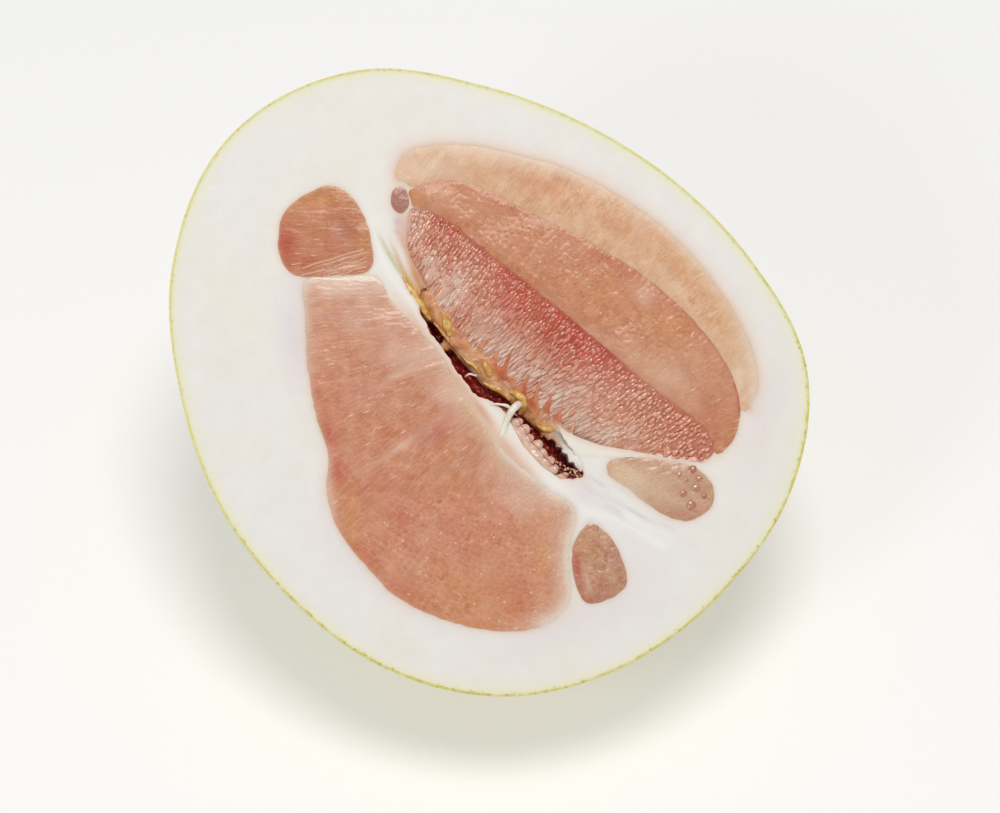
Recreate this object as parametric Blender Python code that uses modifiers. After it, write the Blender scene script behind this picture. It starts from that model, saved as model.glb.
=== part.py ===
import math

import bmesh
import bpy
from mathutils import Matrix, Vector

# Half a pomelo, cut from its stem end to its blossom end, resting on its rind with the cut face up.
# Every piece is drawn in the frame of the cut face: X to the right, Y up the face, Z out of it,
# with the middle of the face at the origin. An empty then leans the whole fruit back.

MM = 0.001
TURN = 2 * math.pi
GAP = 0.3 * MM

# The fruit. The face's radii run anticlockwise from the right, a sixteenth of a turn apart.
FACE_RADII = (79.0, 72.1, 68.6, 69.5, 75.6, 87.0, 91.4, 86.4, 79.1, 75.9, 75.0, 77.4, 79.4, 78.8, 78.2, 79.7)
DOME_DEPTH = 84 * MM
DOME_POWER = 1.9
LEAN = math.radians(33)
RIND_THICKNESS = 1.5 * MM
RIND_SEGMENTS = 44
RIND_RINGS = 24

# The dome is fuller under its weight, and a flat spot there takes a little off it, with a soft edge.
# The rings of its mesh lie closer together round the spot.
FOOT_FROM_APEX = math.radians(24)
FOOT_CUT = 3.8 * MM
FOOT_ROUNDING = 1.2 * MM
FOOT_CROWDING = 0.4
FULL_FROM_APEX = math.radians(16)
FULL_ASIDE = math.radians(-6)
FULLNESS = 4.5 * MM
FULL_SPREAD = math.radians(32)

# The segments. Outlines are in millimetres on the face, through these points on a smooth curve.
SEGMENT_TAPER = 0.12
BLANK_TOP = 4 * MM
LEFT_TIP = [
    (-41.2, 50.8), (-35.9, 49.3), (-31.8, 43.8), (-29.8, 36.5), (-30.6, 29.5),
    (-40.0, 28.4), (-48.2, 28.6), (-52.0, 32.4), (-52.8, 38.0), (-50.4, 45.4),
]
LEFT = [
    (-46.4, 27.0), (-38.0, 27.3), (-29.2, 27.1), (-25.4, 21.0), (-18.4, 13.0), (-12.6, 5.4), (-7.4, -5.6),
    (0.8, -17.6), (12.0, -28.2), (18.6, -33.4), (16.4, -44.0), (15.6, -56.6), (7.6, -62.4), (-3.0, -62.6),
    (-15.0, -59.4), (-26.4, -53.4), (-34.6, -44.4), (-40.6, -35.6), (-43.0, -26.4), (-42.2, -17.0),
    (-45.0, -6.6), (-46.6, 6.0), (-46.6, 17.4),
]
BOTTOM = [
    (22.4, -37.4), (27.2, -41.0), (29.8, -47.0), (30.4, -52.8), (26.0, -56.0),
    (20.6, -56.6), (18.0, -50.6), (18.2, -42.6),
]
RIGHT_OUTER = [
    (-22.4, 52.6), (-20.0, 58.4), (-12.0, 60.4), (-3.0, 59.8), (8.0, 57.0), (19.6, 53.2), (31.0, 47.0),
    (42.4, 38.6), (52.4, 28.0), (60.4, 16.0), (65.0, 5.0), (65.8, -4.4), (62.4, -8.8), (61.6, -3.0),
    (57.0, 6.4), (49.4, 16.4), (40.0, 25.4), (30.0, 32.6), (19.6, 38.8), (9.0, 44.4), (0.0, 49.4),
    (-7.4, 51.8), (-15.4, 51.6),
]
RIGHT_MIDDLE = [
    (-19.4, 48.6), (-14.6, 50.6), (-7.4, 50.8), (-0.4, 48.4), (8.6, 43.2), (19.0, 37.6), (29.4, 31.4),
    (39.4, 24.2), (48.6, 15.4), (56.2, 5.4), (60.8, -4.6), (60.8, -13.6), (57.6, -19.2), (54.8, -18.4),
    (52.6, -13.0), (46.0, -7.2), (37.8, -0.4), (29.6, 7.4), (21.4, 15.0), (12.8, 22.6), (4.4, 30.0),
    (-3.6, 37.0), (-10.6, 42.8), (-16.0, 45.2),
]
RIGHT_INNER = [
    (-19.0, 44.4), (-11.4, 41.6), (-4.2, 35.6), (3.8, 28.6), (12.2, 21.2), (20.8, 13.6), (29.0, 6.0),
    (37.2, -1.8), (45.4, -8.6), (52.0, -14.2), (54.2, -19.4), (51.6, -22.4), (44.6, -21.6), (36.0, -19.6),
    (26.6, -17.4), (19.0, -14.4), (12.0, -8.6), (5.0, -2.8), (-0.6, 3.6), (-6.8, 10.6), (-12.6, 18.2),
    (-17.2, 26.8), (-20.6, 36.0),
]
RIGHT_TIP = [
    (28.6, -21.6), (35.0, -21.2), (42.6, -22.4), (49.4, -24.6), (53.4, -29.0), (52.4, -34.4), (46.4, -37.2),
    (39.6, -34.4), (32.6, -28.8), (27.8, -24.8),
]
SMALL = [(-21.4, 48.4), (-20.4, 44.6), (-22.4, 42.8), (-24.4, 45.0), (-24.2, 48.6), (-22.8, 49.6)]

# The crevice beside the core, and what shows in it.
CREVICE_DEPTH = 17 * MM
CREVICE = [
    (-18.6, 20.6), (-16.2, 13.8), (-12.2, 7.4), (-8.8, 1.8), (-5.2, -3.2), (0.4, -6.2), (2.6, -10.4),
    (6.0, -17.4), (10.4, -22.8), (15.2, -26.2), (21.4, -26.4), (23.4, -24.0), (20.0, -18.4), (18.0, -13.0),
    (10.6, -5.4), (2.8, 1.8), (-4.6, 10.0), (-11.4, 18.6), (-15.8, 24.4),
]
VESICLE_BED = [
    (3.6, -12.0), (6.0, -12.4), (9.4, -16.2), (12.8, -20.4),
    (13.6, -23.2), (11.2, -23.0), (7.4, -18.8), (4.6, -15.0),
]
VESICLE_BED_TOP = -5.5 * MM
VESICLE_BED_DEPTH = 13 * MM
MEMBRANE = [
    (-14.3, 16.9), (-8.5, 9.3), (-2.3, 2.2), (3.4, -4.3), (10.8, -10.4),
    (11.6, -9.1), (4.5, -3.2), (-1.1, 3.2), (-7.3, 10.2), (-13.1, 17.8),
]
MEMBRANE_TOP = -4.5 * MM
MEMBRANE_BOTTOM = -12.5 * MM

# The inner segment slopes from its ridge, beside the middle segment, down to the crevice.
RIDGE_START = (-18.1, 45.8)
RIDGE_END = (52.3, -17.5)
SLOPE_WIDTH = 25 * MM
SLOPE_DROP = 8.5 * MM
SLOPE_POWER = 1.5
SLOPE_REACH = 1.2
RIDGE_RISE = 0.8 * MM
RIDGE_EVENNESS = 0.7

# The vesicles' relief, coarser than life: pitch across the fibres and step along them in
# millimetres, steps to a vesicle, its height, and how much of that is left where it ends.
# The fibres fan out from a point beyond the core.
LEFT_FAN = (95, 45)
RIGHT_FAN = (-110, -95)
VESICLE_END = 0.25
COARSE = {"pitch": 1.9, "step": 4.2, "height": 0.8 * MM, "cells": 3}
FINE = {"pitch": 1.45, "step": 1.9, "height": 1.1 * MM, "cells": 3}
SUNK = -0.35 * MM

# The white strand that curls over the crevice, and the vesicles on its left wall.
STRAND = [
    (-3.4, -5.0, -1.6), (-0.6, -5.8, 0.4), (2.6, -6.0, 1.0), (5.4, -6.2, 0.6), (5.8, -7.6, -0.2),
    (4.4, -9.2, -0.4), (2.8, -11.0, -0.2), (1.6, -12.8, -1.8),
]
STRAND_RADIUS = 0.9 * MM
VESICLE_RADIUS = 1.3 * MM
VESICLE_LENGTH = 2.6 * MM
VESICLE_ROW_START = (6.5, -14.1)
VESICLE_ROW_END = (12.4, -21.3)
VESICLES_IN_ROW = 7
VESICLE_RISE = 0.5 * MM
VESICLE_TILTS = (0.2, 0.1, 0.0)


def clear_scene():
    for thing in list(bpy.data.objects):
        bpy.data.objects.remove(thing, do_unlink=True)


def make_collection(name):
    collection = bpy.data.collections.new(name)
    bpy.context.scene.collection.children.link(collection)
    return collection


def make_material(name, colour, roughness):
    material = bpy.data.materials.new(name)
    material.use_nodes = True
    shader = material.node_tree.nodes["Principled BSDF"]
    shader.inputs["Base Color"].default_value = (*colour, 1)
    shader.inputs["Roughness"].default_value = roughness
    shader.inputs["Metallic"].default_value = 0
    return material


def object_from(shape, name, collection, material=None):
    mesh = bpy.data.meshes.new(name)
    bmesh.ops.recalc_face_normals(shape, faces=shape.faces)
    shape.to_mesh(mesh)
    shape.free()
    thing = bpy.data.objects.new(name, mesh)
    collection.objects.link(thing)
    if material:
        mesh.materials.append(material)
        mesh.shade_smooth()
        mesh.set_sharp_from_angle(angle=math.radians(40))
    else:
        thing.hide_render = True
        thing.display_type = "WIRE"
    return thing


def boolean(thing, other, operation="DIFFERENCE"):
    modifier = thing.modifiers.new(other.name, "BOOLEAN")
    modifier.object = other
    modifier.operation = operation
    modifier.solver = "EXACT"


def catmull_rom(before, start, end, after, t):
    return 0.5 * (
        2 * start
        + (end - before) * t
        + (2 * before - 5 * start + 4 * end - after) * t**2
        + (3 * start - before - 3 * end + after) * t**3
    )


def face_radius(angle):
    place = angle / TURN * len(FACE_RADII)
    index = math.floor(place)
    radii = [FACE_RADII[(index + k) % len(FACE_RADII)] for k in (-1, 0, 1, 2)]
    return catmull_rom(*radii, place - index) * MM


def towards(from_apex, aside=0):
    # The direction at these angles from the dome's deepest point, down the face and sideways.
    return Vector((math.sin(aside), -math.sin(from_apex), -math.cos(from_apex))).normalized()


def on_fruit(direction):
    # The point of the whole fruit's surface in this direction from the middle of the face.
    across = math.hypot(direction.x, direction.y) / face_radius(math.atan2(direction.y, direction.x))
    deep = abs(direction.z) / DOME_DEPTH
    reach = (across**DOME_POWER + deep**DOME_POWER) ** (-1 / DOME_POWER)
    off = direction.angle(towards(FULL_FROM_APEX, FULL_ASIDE)) / FULL_SPREAD
    return direction * (reach + FULLNESS * math.exp(-(off**2)))


def settled(height):
    # Zero where the dome would reach below the floor, with a round start to the flat.
    if height <= -FOOT_ROUNDING:
        return 0
    if height >= FOOT_ROUNDING:
        return height
    return (height + FOOT_ROUNDING) ** 2 / (4 * FOOT_ROUNDING)


def fruit_surface(inset):
    # The whole fruit as one closed surface, its poles on the line through the spot it rests on.
    shape = bmesh.new()
    bmesh.ops.create_uvsphere(shape, u_segments=RIND_SEGMENTS, v_segments=RIND_RINGS, radius=1)
    turn = Vector((0, 0, 1)).rotation_difference(towards(FOOT_FROM_APEX))
    up = Vector((0, math.sin(LEAN), math.cos(LEAN)))
    for vertex in shape.verts:
        from_pole = math.acos(min(1, max(-1, vertex.co.z)))
        around = math.atan2(vertex.co.y, vertex.co.x)
        from_pole -= FOOT_CROWDING * math.sin(from_pole)
        flat = math.sin(from_pole)
        spread = Vector((flat * math.cos(around), flat * math.sin(around), math.cos(from_pole)))
        vertex.co = on_fruit((turn @ spread).normalized())
    floor = min(vertex.co.dot(up) for vertex in shape.verts) + FOOT_CUT
    for vertex in shape.verts:
        height = vertex.co.dot(up) - floor
        vertex.co += up * (settled(height) - height)
    shape.normal_update()
    insets = [vertex.normal * inset for vertex in shape.verts]
    for vertex, move in zip(shape.verts, insets):
        vertex.co -= move
    return shape, floor


def smooth_outline(points, steps=3):
    # A closed curve through the points, anticlockwise, in metres.
    count = len(points)
    curve = []
    for i in range(count):
        around = [Vector(points[(i + k) % count]) for k in (-1, 0, 1, 2)]
        curve += [catmull_rom(*around, step / steps) * MM for step in range(steps)]
    area = sum(a.x * b.y - b.x * a.y for a, b in zip(curve, curve[1:] + curve[:1]))
    return curve if area > 0 else curve[::-1]


def grown(outline, distance):
    # The outline moved outwards by this distance.
    count = len(outline)
    moved = []
    for i, point in enumerate(outline):
        along = (outline[(i + 1) % count] - outline[i - 1]).normalized()
        moved.append(point + Vector((along.y, -along.x)) * distance)
    return moved


def block(outline, top, bottom, taper):
    # An upright block over the outline, whose foot is drawn in towards its middle.
    shape = bmesh.new()
    corners = [shape.verts.new((point.x, point.y, top)) for point in outline]
    lid = shape.faces.new(corners)
    middle = lid.calc_center_median()
    made = bmesh.ops.extrude_face_region(shape, geom=[lid])
    for vertex in made["geom"]:
        if isinstance(vertex, bmesh.types.BMVert):
            vertex.co = vertex.co.lerp(middle, taper)
            vertex.co.z = bottom
    return shape


def fan_grid(outlines, fan, base, pitch, step, cells, height):
    # The air over the segments: its underside is the relief of the cut vesicles, laid end to end
    # in staggered rows along the fibres. It reaches one row past the outlines all round.
    centre = Vector(fan) * MM
    spokes = [point - centre for outline in outlines for point in outline]
    middle = sum(spokes, Vector((0, 0))).normalized()
    turns = [middle.angle_signed(spoke) for spoke in spokes]
    reach = [spoke.length for spoke in spokes]
    mean_reach = sum(reach) / len(reach)
    across = math.ceil((max(turns) - min(turns)) * mean_reach / (pitch * MM)) + 2
    along = math.ceil((max(reach) - min(reach)) / (step * MM)) + 2
    shape = bmesh.new()
    bmesh.ops.create_grid(shape, x_segments=along, y_segments=across, size=0.5)
    for vertex in list(shape.verts):
        row = round((vertex.co.y + 0.5) * across)
        place = round((vertex.co.x + 0.5) * along)
        radius = min(reach) + (place - 1) * step * MM
        turn = min(turns) + (row - 1) * pitch * MM / mean_reach
        point = centre + radius * (Matrix.Rotation(-turn, 2) @ middle)
        ridge = row % 2
        end = (place + 2 * (row // 2)) % cells == 0
        rise = height * ridge * (VESICLE_END if end else 1)
        vertex.co = (point.x, point.y, base(point) + rise)
    ceiling = bmesh.ops.extrude_face_region(shape, geom=list(shape.faces))
    for vertex in ceiling["geom"]:
        if isinstance(vertex, bmesh.types.BMVert):
            vertex.co.z = 2 * BLANK_TOP
    return shape


def level(point):
    return SUNK


def inner_slope(point):
    # Highest along the ridge, falling away to the crevice, and level again at the ridge's two ends.
    start = Vector(RIDGE_START) * MM
    ridge = Vector(RIDGE_END) * MM - start
    along = (point - start).dot(ridge) / ridge.length_squared
    off = (point - start).dot(Vector((ridge.y, -ridge.x)).normalized()) / SLOPE_WIDTH
    middle = max(0, math.sin(math.pi * min(max(along, 0), 1))) ** RIDGE_EVENNESS
    return middle * (RIDGE_RISE - SLOPE_DROP * max(0, min(off, SLOPE_REACH)) ** SLOPE_POWER)


def segment(name, points, depth, relief, material):
    outline = smooth_outline(points)
    thing = object_from(block(outline, BLANK_TOP, -depth, SEGMENT_TAPER), name, parts, material)
    boolean(thing, relief)


def socket(name, points, top, bottom, taper):
    outline = grown(smooth_outline(points), GAP)
    return object_from(block(outline, top, bottom - GAP, taper), name + "_socket", cutters)


def vesicle(at, tilt):
    shape = bmesh.new()
    bmesh.ops.create_uvsphere(shape, u_segments=8, v_segments=6, radius=VESICLE_RADIUS)
    bmesh.ops.scale(shape, vec=(1, 1, VESICLE_LENGTH / VESICLE_RADIUS), verts=shape.verts)
    bmesh.ops.rotate(shape, matrix=Matrix.Rotation(tilt, 3, "Y"), verts=shape.verts)
    bmesh.ops.translate(shape, vec=at, verts=shape.verts)
    return shape


def strand_solid():
    # A tube along the strand's route, turned into a mesh with its caps joined on.
    curve = bpy.data.curves.new("strand", "CURVE")
    curve.dimensions = "3D"
    curve.bevel_depth = STRAND_RADIUS
    curve.bevel_resolution = 1
    curve.resolution_u = 2
    curve.use_fill_caps = True
    line = curve.splines.new("NURBS")
    line.points.add(len(STRAND) - 1)
    line.use_endpoint_u = True
    for point, place in zip(line.points, STRAND):
        point.co = (*(Vector(place) * MM), 1)
    guide = bpy.data.objects.new("strand_route", curve)
    cutters.objects.link(guide)
    graph = bpy.context.evaluated_depsgraph_get()
    mesh = bpy.data.meshes.new_from_object(guide.evaluated_get(graph))
    bpy.data.objects.remove(guide, do_unlink=True)
    shape = bmesh.new()
    shape.from_mesh(mesh)
    bmesh.ops.remove_doubles(shape, verts=shape.verts, dist=0.01 * MM)
    return object_from(shape, "strand", cutters)


def fused_vesicles():
    # A row of round vesicle tips, rooted in the bed that carries them.
    bed = block(smooth_outline(VESICLE_BED), VESICLE_BED_TOP, -VESICLE_BED_DEPTH, SEGMENT_TAPER)
    cluster = object_from(bed, "crevice_vesicles", parts, pale_flesh)
    start = Vector(VESICLE_ROW_START) * MM
    end = Vector(VESICLE_ROW_END) * MM
    for i in range(VESICLES_IN_ROW):
        at = start.lerp(end, i / (VESICLES_IN_ROW - 1))
        top = VESICLE_BED_TOP + VESICLE_RISE * (i % 2)
        shape = vesicle((at.x, at.y, top), VESICLE_TILTS[i % len(VESICLE_TILTS)])
        boolean(cluster, object_from(shape, f"tip_{i}", cutters), "UNION")


clear_scene()
parts = make_collection("pomelo")
cutters = make_collection("cutters")
yellow_rind = make_material("yellow_rind", (0.78, 0.74, 0.28), 0.45)
albedo = make_material("white_albedo", (0.83, 0.80, 0.74), 0.85)
flesh = make_material("pink_flesh", (0.72, 0.36, 0.24), 0.35)
pale_flesh = make_material("pale_pink_flesh", (0.74, 0.47, 0.40), 0.35)
red_flesh = make_material("red_flesh", (0.60, 0.17, 0.14), 0.3)
amber = make_material("amber_membrane", (0.72, 0.42, 0.10), 0.4)

# What lies above the cut face is cut away from the rind and the white pith.
air = bmesh.new()
bmesh.ops.create_cube(air, size=4 * DOME_DEPTH, matrix=Matrix.Translation((0, 0, 2 * DOME_DEPTH)))
above_face = object_from(air, "above_face", cutters)

rind_shape, floor_height = fruit_surface(0)
skin = object_from(rind_shape, "skin", parts, yellow_rind)
shell = skin.modifiers.new("thickness", "SOLIDIFY")
shell.thickness = RIND_THICKNESS
shell.offset = -1
shell.use_even_offset = True
boolean(skin, above_face)

pith_shape, _ = fruit_surface(RIND_THICKNESS + GAP)
pith = object_from(pith_shape, "pith", parts, albedo)
boolean(pith, above_face)

left_outlines = [smooth_outline(points) for points in (LEFT_TIP, LEFT, BOTTOM)]
right_outlines = [smooth_outline(points) for points in (RIGHT_OUTER, RIGHT_MIDDLE, RIGHT_TIP, SMALL)]
inner_outline = [smooth_outline(RIGHT_INNER)]
left_relief = object_from(fan_grid(left_outlines, LEFT_FAN, level, **COARSE), "left_relief", cutters)
right_relief = object_from(fan_grid(right_outlines, RIGHT_FAN, level, **COARSE), "right_relief", cutters)
inner_relief = object_from(fan_grid(inner_outline, RIGHT_FAN, inner_slope, **FINE), "inner_relief", cutters)

segments = {
    "segment_left_tip": (LEFT_TIP, 16 * MM, left_relief, flesh),
    "segment_left": (LEFT, 22 * MM, left_relief, flesh),
    "segment_bottom": (BOTTOM, 12 * MM, left_relief, flesh),
    "segment_right_outer": (RIGHT_OUTER, 14 * MM, right_relief, flesh),
    "segment_right_middle": (RIGHT_MIDDLE, 20 * MM, right_relief, flesh),
    "segment_right_inner": (RIGHT_INNER, 20 * MM, inner_relief, red_flesh),
    "segment_right_tip": (RIGHT_TIP, 14 * MM, right_relief, flesh),
    "segment_small": (SMALL, 6 * MM, right_relief, flesh),
}
for name, (points, depth, relief, material) in segments.items():
    segment(name, points, depth, relief, material)
    boolean(pith, socket(name, points, BLANK_TOP, -depth, SEGMENT_TAPER))

crevice = block(smooth_outline(CREVICE), BLANK_TOP, -CREVICE_DEPTH, SEGMENT_TAPER)
boolean(pith, object_from(crevice, "crevice", cutters))
boolean(pith, socket("crevice_vesicles", VESICLE_BED, BLANK_TOP, -VESICLE_BED_DEPTH, 0))
boolean(pith, strand_solid(), "UNION")
fused_vesicles()
membrane = block(smooth_outline(MEMBRANE), MEMBRANE_TOP, MEMBRANE_BOTTOM, 0)
object_from(membrane, "crevice_membrane", parts, amber)

# The fruit leans back and stands on its flat spot, with the floor under the middle of its box.
stand = bpy.data.objects.new("stand", None)
parts.objects.link(stand)
stand.rotation_euler = (LEAN, 0, 0)
graph = bpy.context.evaluated_depsgraph_get()
lean = Matrix.Rotation(LEAN, 3, "X")
corners = [lean @ vertex.co for vertex in skin.evaluated_get(graph).data.vertices]
for axis in (0, 1):
    ends = [corner[axis] for corner in corners]
    stand.location[axis] = -(min(ends) + max(ends)) / 2
stand.location.z = -floor_height
for thing in [*parts.objects, *cutters.objects]:
    if thing is not stand:
        thing.parent = stand
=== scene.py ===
import math

import bpy
import numpy as np
from mathutils import Matrix, Vector
from mathutils.geometry import delaunay_2d_cdt


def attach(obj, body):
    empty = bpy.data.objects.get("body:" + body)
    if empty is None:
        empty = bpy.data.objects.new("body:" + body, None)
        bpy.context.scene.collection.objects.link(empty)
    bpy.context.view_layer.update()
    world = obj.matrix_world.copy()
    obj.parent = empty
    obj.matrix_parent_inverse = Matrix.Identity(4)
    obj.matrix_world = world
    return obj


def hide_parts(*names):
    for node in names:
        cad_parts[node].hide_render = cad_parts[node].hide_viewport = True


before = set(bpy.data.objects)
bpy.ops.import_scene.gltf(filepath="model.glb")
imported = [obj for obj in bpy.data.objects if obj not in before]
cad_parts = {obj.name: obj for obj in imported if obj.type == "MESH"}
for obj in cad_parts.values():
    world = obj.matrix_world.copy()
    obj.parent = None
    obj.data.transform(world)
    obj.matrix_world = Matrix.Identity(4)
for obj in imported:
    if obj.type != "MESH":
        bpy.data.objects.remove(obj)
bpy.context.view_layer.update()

# Half a pomelo, cut from stem to blossom end. As in the part's own source, every piece is drawn in the
# frame of the cut face: X to the right, Y up the face, Z out of it, in millimetres. The stand then
# leans the fruit back on its flat spot.

fruit = {
    "faceRadii": (79.0, 72.1, 68.6, 69.5, 75.6, 87.0, 91.4, 86.4, 79.1, 75.9, 75.0, 77.4, 79.4, 78.8, 78.2, 79.7),
    "domeDepth": 84, "domePower": 1.9,
    "lean": 33, "faceMiddle": (0.8896, -6.9751, 81.3568),   # where the middle of the face stands
    "footRounding": 1.2,
    "fullFromApex": 16, "fullAside": -6, "fullness": 4.5, "fullSpread": 32,
}
stand = (Matrix.Translation(Vector(fruit["faceMiddle"]) * 0.001)
         @ Matrix.Rotation(math.radians(fruit["lean"]), 4, "X"))


def toLinear(hexColour):
    channels = [int(hexColour[k:k + 2], 16) / 255 for k in (1, 3, 5)]
    return tuple(c / 12.92 if c <= 0.04045 else ((c + 0.055) / 1.055) ** 2.4 for c in channels) + (1.0,)


def setInputs(tree, node, inputs):
    # Each input is set to a value, or linked to an output or to another node's first output.
    for name, value in inputs.items():
        if isinstance(value, bpy.types.Node):
            value = value.outputs[0]
        if isinstance(value, bpy.types.NodeSocket):
            tree.links.new(value, node.inputs[name])
        else:
            node.inputs[name].default_value = value


def addNode(tree, kind, inputs=None, **settings):
    # A node with its settings, its inputs set or linked.
    node = tree.nodes.new("ShaderNode" + kind)
    for name, value in settings.items():
        setattr(node, name, value)
    setInputs(tree, node, inputs or {})
    return node


def chance(seed, *whole):
    # A fixed random number from 0 to 1 for each set of whole numbers.
    mixed = np.full(np.shape(whole[0]), seed * 7919 + 101, np.uint64)
    for number in whole:
        mixed = (mixed ^ (np.asarray(number, np.int64) & 0xFFFF).astype(np.uint64)) * np.uint64(2654435761)
        mixed = (mixed ^ (mixed >> np.uint64(15))) & np.uint64(0xFFFFFFFF)
    mixed = (mixed * np.uint64(2246822519)) & np.uint64(0xFFFFFFFF)
    mixed = mixed ^ (mixed >> np.uint64(13))
    return (mixed & np.uint64(0xFFFF)).astype(float) / 65535


def softNoise(places, pitch, seed):
    # Smooth noise from -1 to 1, whose lumps are about a pitch across.
    places = np.asarray(places, float) / pitch
    corner = np.floor(places)
    part = places - corner
    part = part * part * (3 - 2 * part)
    total = np.zeros(len(places))
    axes = places.shape[1]
    for which in range(2 ** axes):
        steps = [(which >> axis) & 1 for axis in range(axes)]
        weight = np.ones(len(places))
        for axis, step in enumerate(steps):
            weight = weight * (part[:, axis] if step else 1 - part[:, axis])
        total += weight * chance(seed, *[corner[:, axis] + step for axis, step in enumerate(steps)])
    return total * 2 - 1


def smoothStep(low, high, value):
    t = np.clip((value - low) / (high - low), 0, 1)
    return t * t * (3 - 2 * t)


def splinePoints(before, start, end, after, t):
    return 0.5 * (2 * start + (end - before) * t + (2 * before - 5 * start + 4 * end - after) * t ** 2
                  + (3 * start - before - 3 * end + after) * t ** 3)


def curveThrough(points, spacing, closed=True):
    # Points at an even spacing along a smooth curve through these.
    points = np.array(points, float)
    count = len(points)
    dense = []
    for i in range(count if closed else count - 1):
        if closed:
            around = [points[(i + k) % count] for k in (-1, 0, 1, 2)]
        else:
            around = [points[min(max(i + k, 0), count - 1)] for k in (-1, 0, 1, 2)]
        dense += [splinePoints(*around, step / 24) for step in range(24)]
    dense.append(points[0] if closed else points[-1])
    dense = np.array(dense)
    length = np.concatenate([[0], np.cumsum(np.linalg.norm(np.diff(dense, axis=0), axis=1))])
    steps = max(8, round(length[-1] / spacing))
    wanted = np.linspace(0, length[-1], steps + 1)[:steps if closed else steps + 1]
    return np.stack([np.interp(wanted, length, dense[:, axis]) for axis in range(dense.shape[1])], 1)


def anticlockwise(outline):
    ahead = np.roll(outline, -1, 0)
    area = (outline[:, 0] * ahead[:, 1] - ahead[:, 0] * outline[:, 1]).sum()
    return outline if area > 0 else outline[::-1]


def grown(outline, distance):
    along = np.roll(outline, -1, 0) - np.roll(outline, 1, 0)
    along /= np.linalg.norm(along, axis=1)[:, None]
    return outline + np.stack([along[:, 1], -along[:, 0]], 1) * distance


def offLine(places, line, closed=False):
    # How far each place is from a line of points.
    start = line if closed else line[:-1]
    step = (np.roll(line, -1, 0) if closed else line[1:]) - start
    size = (step ** 2).sum(1) + 1e-12
    near = np.empty(len(places))
    for first in range(0, len(places), 2500):
        off = places[first:first + 2500, None, :] - start
        along = np.clip((off * step).sum(2) / size, 0, 1)
        off = off - along[..., None] * step
        near[first:first + 2500] = np.sqrt((off ** 2).sum(2).min(1))
    return near


def within(places, outline):
    ahead = np.roll(outline, -1, 0)
    inside = np.empty(len(places), bool)
    for first in range(0, len(places), 5000):
        x = places[first:first + 5000, 0][:, None]
        y = places[first:first + 5000, 1][:, None]
        spans = (outline[:, 1] > y) != (ahead[:, 1] > y)
        slope = (ahead[:, 0] - outline[:, 0]) / (ahead[:, 1] - outline[:, 1] + 1e-12)
        inside[first:first + 5000] = (spans & (x < outline[:, 0] + slope * (y - outline[:, 1]))).sum(1) % 2 == 1
    return inside


def ground(flat):
    # The cut face isn't quite flat. The pith and the flesh share this, so that their edges meet.
    return softNoise(flat, 14, 31) * 0.12 + softNoise(flat, 3.2, 32) * 0.05


def inwards(places, outline):
    # How far inside the outline each place is, negative outside it.
    return offLine(places, outline, True) * np.where(within(places, outline), 1, -1)


pixelsPerMillimetre = 3.425   # the cut face is 548 pixels wide, and 160 mm
middleColumn, middleRow = 331, 475


def onFace(column, row):
    # A place on the cut face, from where the photograph shows it.
    return (column - middleColumn) / pixelsPerMillimetre, (middleRow - row) / pixelsPerMillimetre


def spots(places, marks):
    # Soft patches: column and row in the photograph, the two radii in its pixels, turn, strength.
    total = np.zeros(len(places))
    for column, row, long, short, turn, strength in marks:
        x, y = (places - onFace(column, row)).T
        c, s = math.cos(math.radians(turn)), math.sin(math.radians(turn))
        far = (((x * c + y * s) * pixelsPerMillimetre / long) ** 2
               + ((y * c - x * s) * pixelsPerMillimetre / short) ** 2)
        total = total + strength * np.exp(-far)
    return np.clip(total, 0, 1)


def sheetOver(outer, holes, spacing, seed):
    # An even triangle mesh over an outline, with holes. Returns its points and triangles.
    low, high = outer.min(0), outer.max(0)
    rows = int((high[1] - low[1]) / (spacing * 0.866)) + 1
    columns = int((high[0] - low[0]) / spacing) + 1
    row, column = [side.ravel() for side in np.mgrid[0:rows, 0:columns]]
    inner = np.stack([low[0] + (column + 0.5 * (row % 2)) * spacing, low[1] + row * spacing * 0.866], 1)
    inner += (np.stack([chance(seed, row, column), chance(seed + 1, row, column)], 1) - 0.5) * spacing * 0.3
    keep = within(inner, outer)
    inner = inner[keep]
    inner = inner[offLine(inner, outer, True) > 0.6 * spacing]
    for hole in holes:
        inner = inner[~within(inner, hole)]
        inner = inner[offLine(inner, hole, True) > 0.6 * spacing]
    loops = [outer, *holes]
    points, edges = list(inner), []
    for loop in loops:
        first = len(points)
        edges += [(first + i, first + (i + 1) % len(loop)) for i in range(len(loop))]
        points += list(loop)
    made = delaunay_2d_cdt([Vector(p) for p in points], edges, [], 0, 1e-6)
    places = np.array([tuple(p) for p in made[0]])
    isInner = np.array([any(i < len(inner) for i in came) for came in made[3]])
    faces = np.array(made[2])
    unsure = ~isInner[faces].any(1)
    middles = places[faces[unsure]].mean(1)
    fine = within(middles, outer)
    for hole in holes:
        fine &= ~within(middles, hole)
    keepFace = np.ones(len(faces), bool)
    keepFace[np.flatnonzero(unsure)] = fine
    faces = faces[keepFace]
    a, b, c = (places[faces[:, k]] for k in range(3))
    turned = (b[:, 0] - a[:, 0]) * (c[:, 1] - a[:, 1]) - (b[:, 1] - a[:, 1]) * (c[:, 0] - a[:, 0]) < 0
    faces[turned] = faces[turned][:, ::-1]
    used = np.unique(faces)
    renumbered = np.zeros(len(places), int)
    renumbered[used] = np.arange(len(used))
    return places[used], renumbered[faces]


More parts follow.
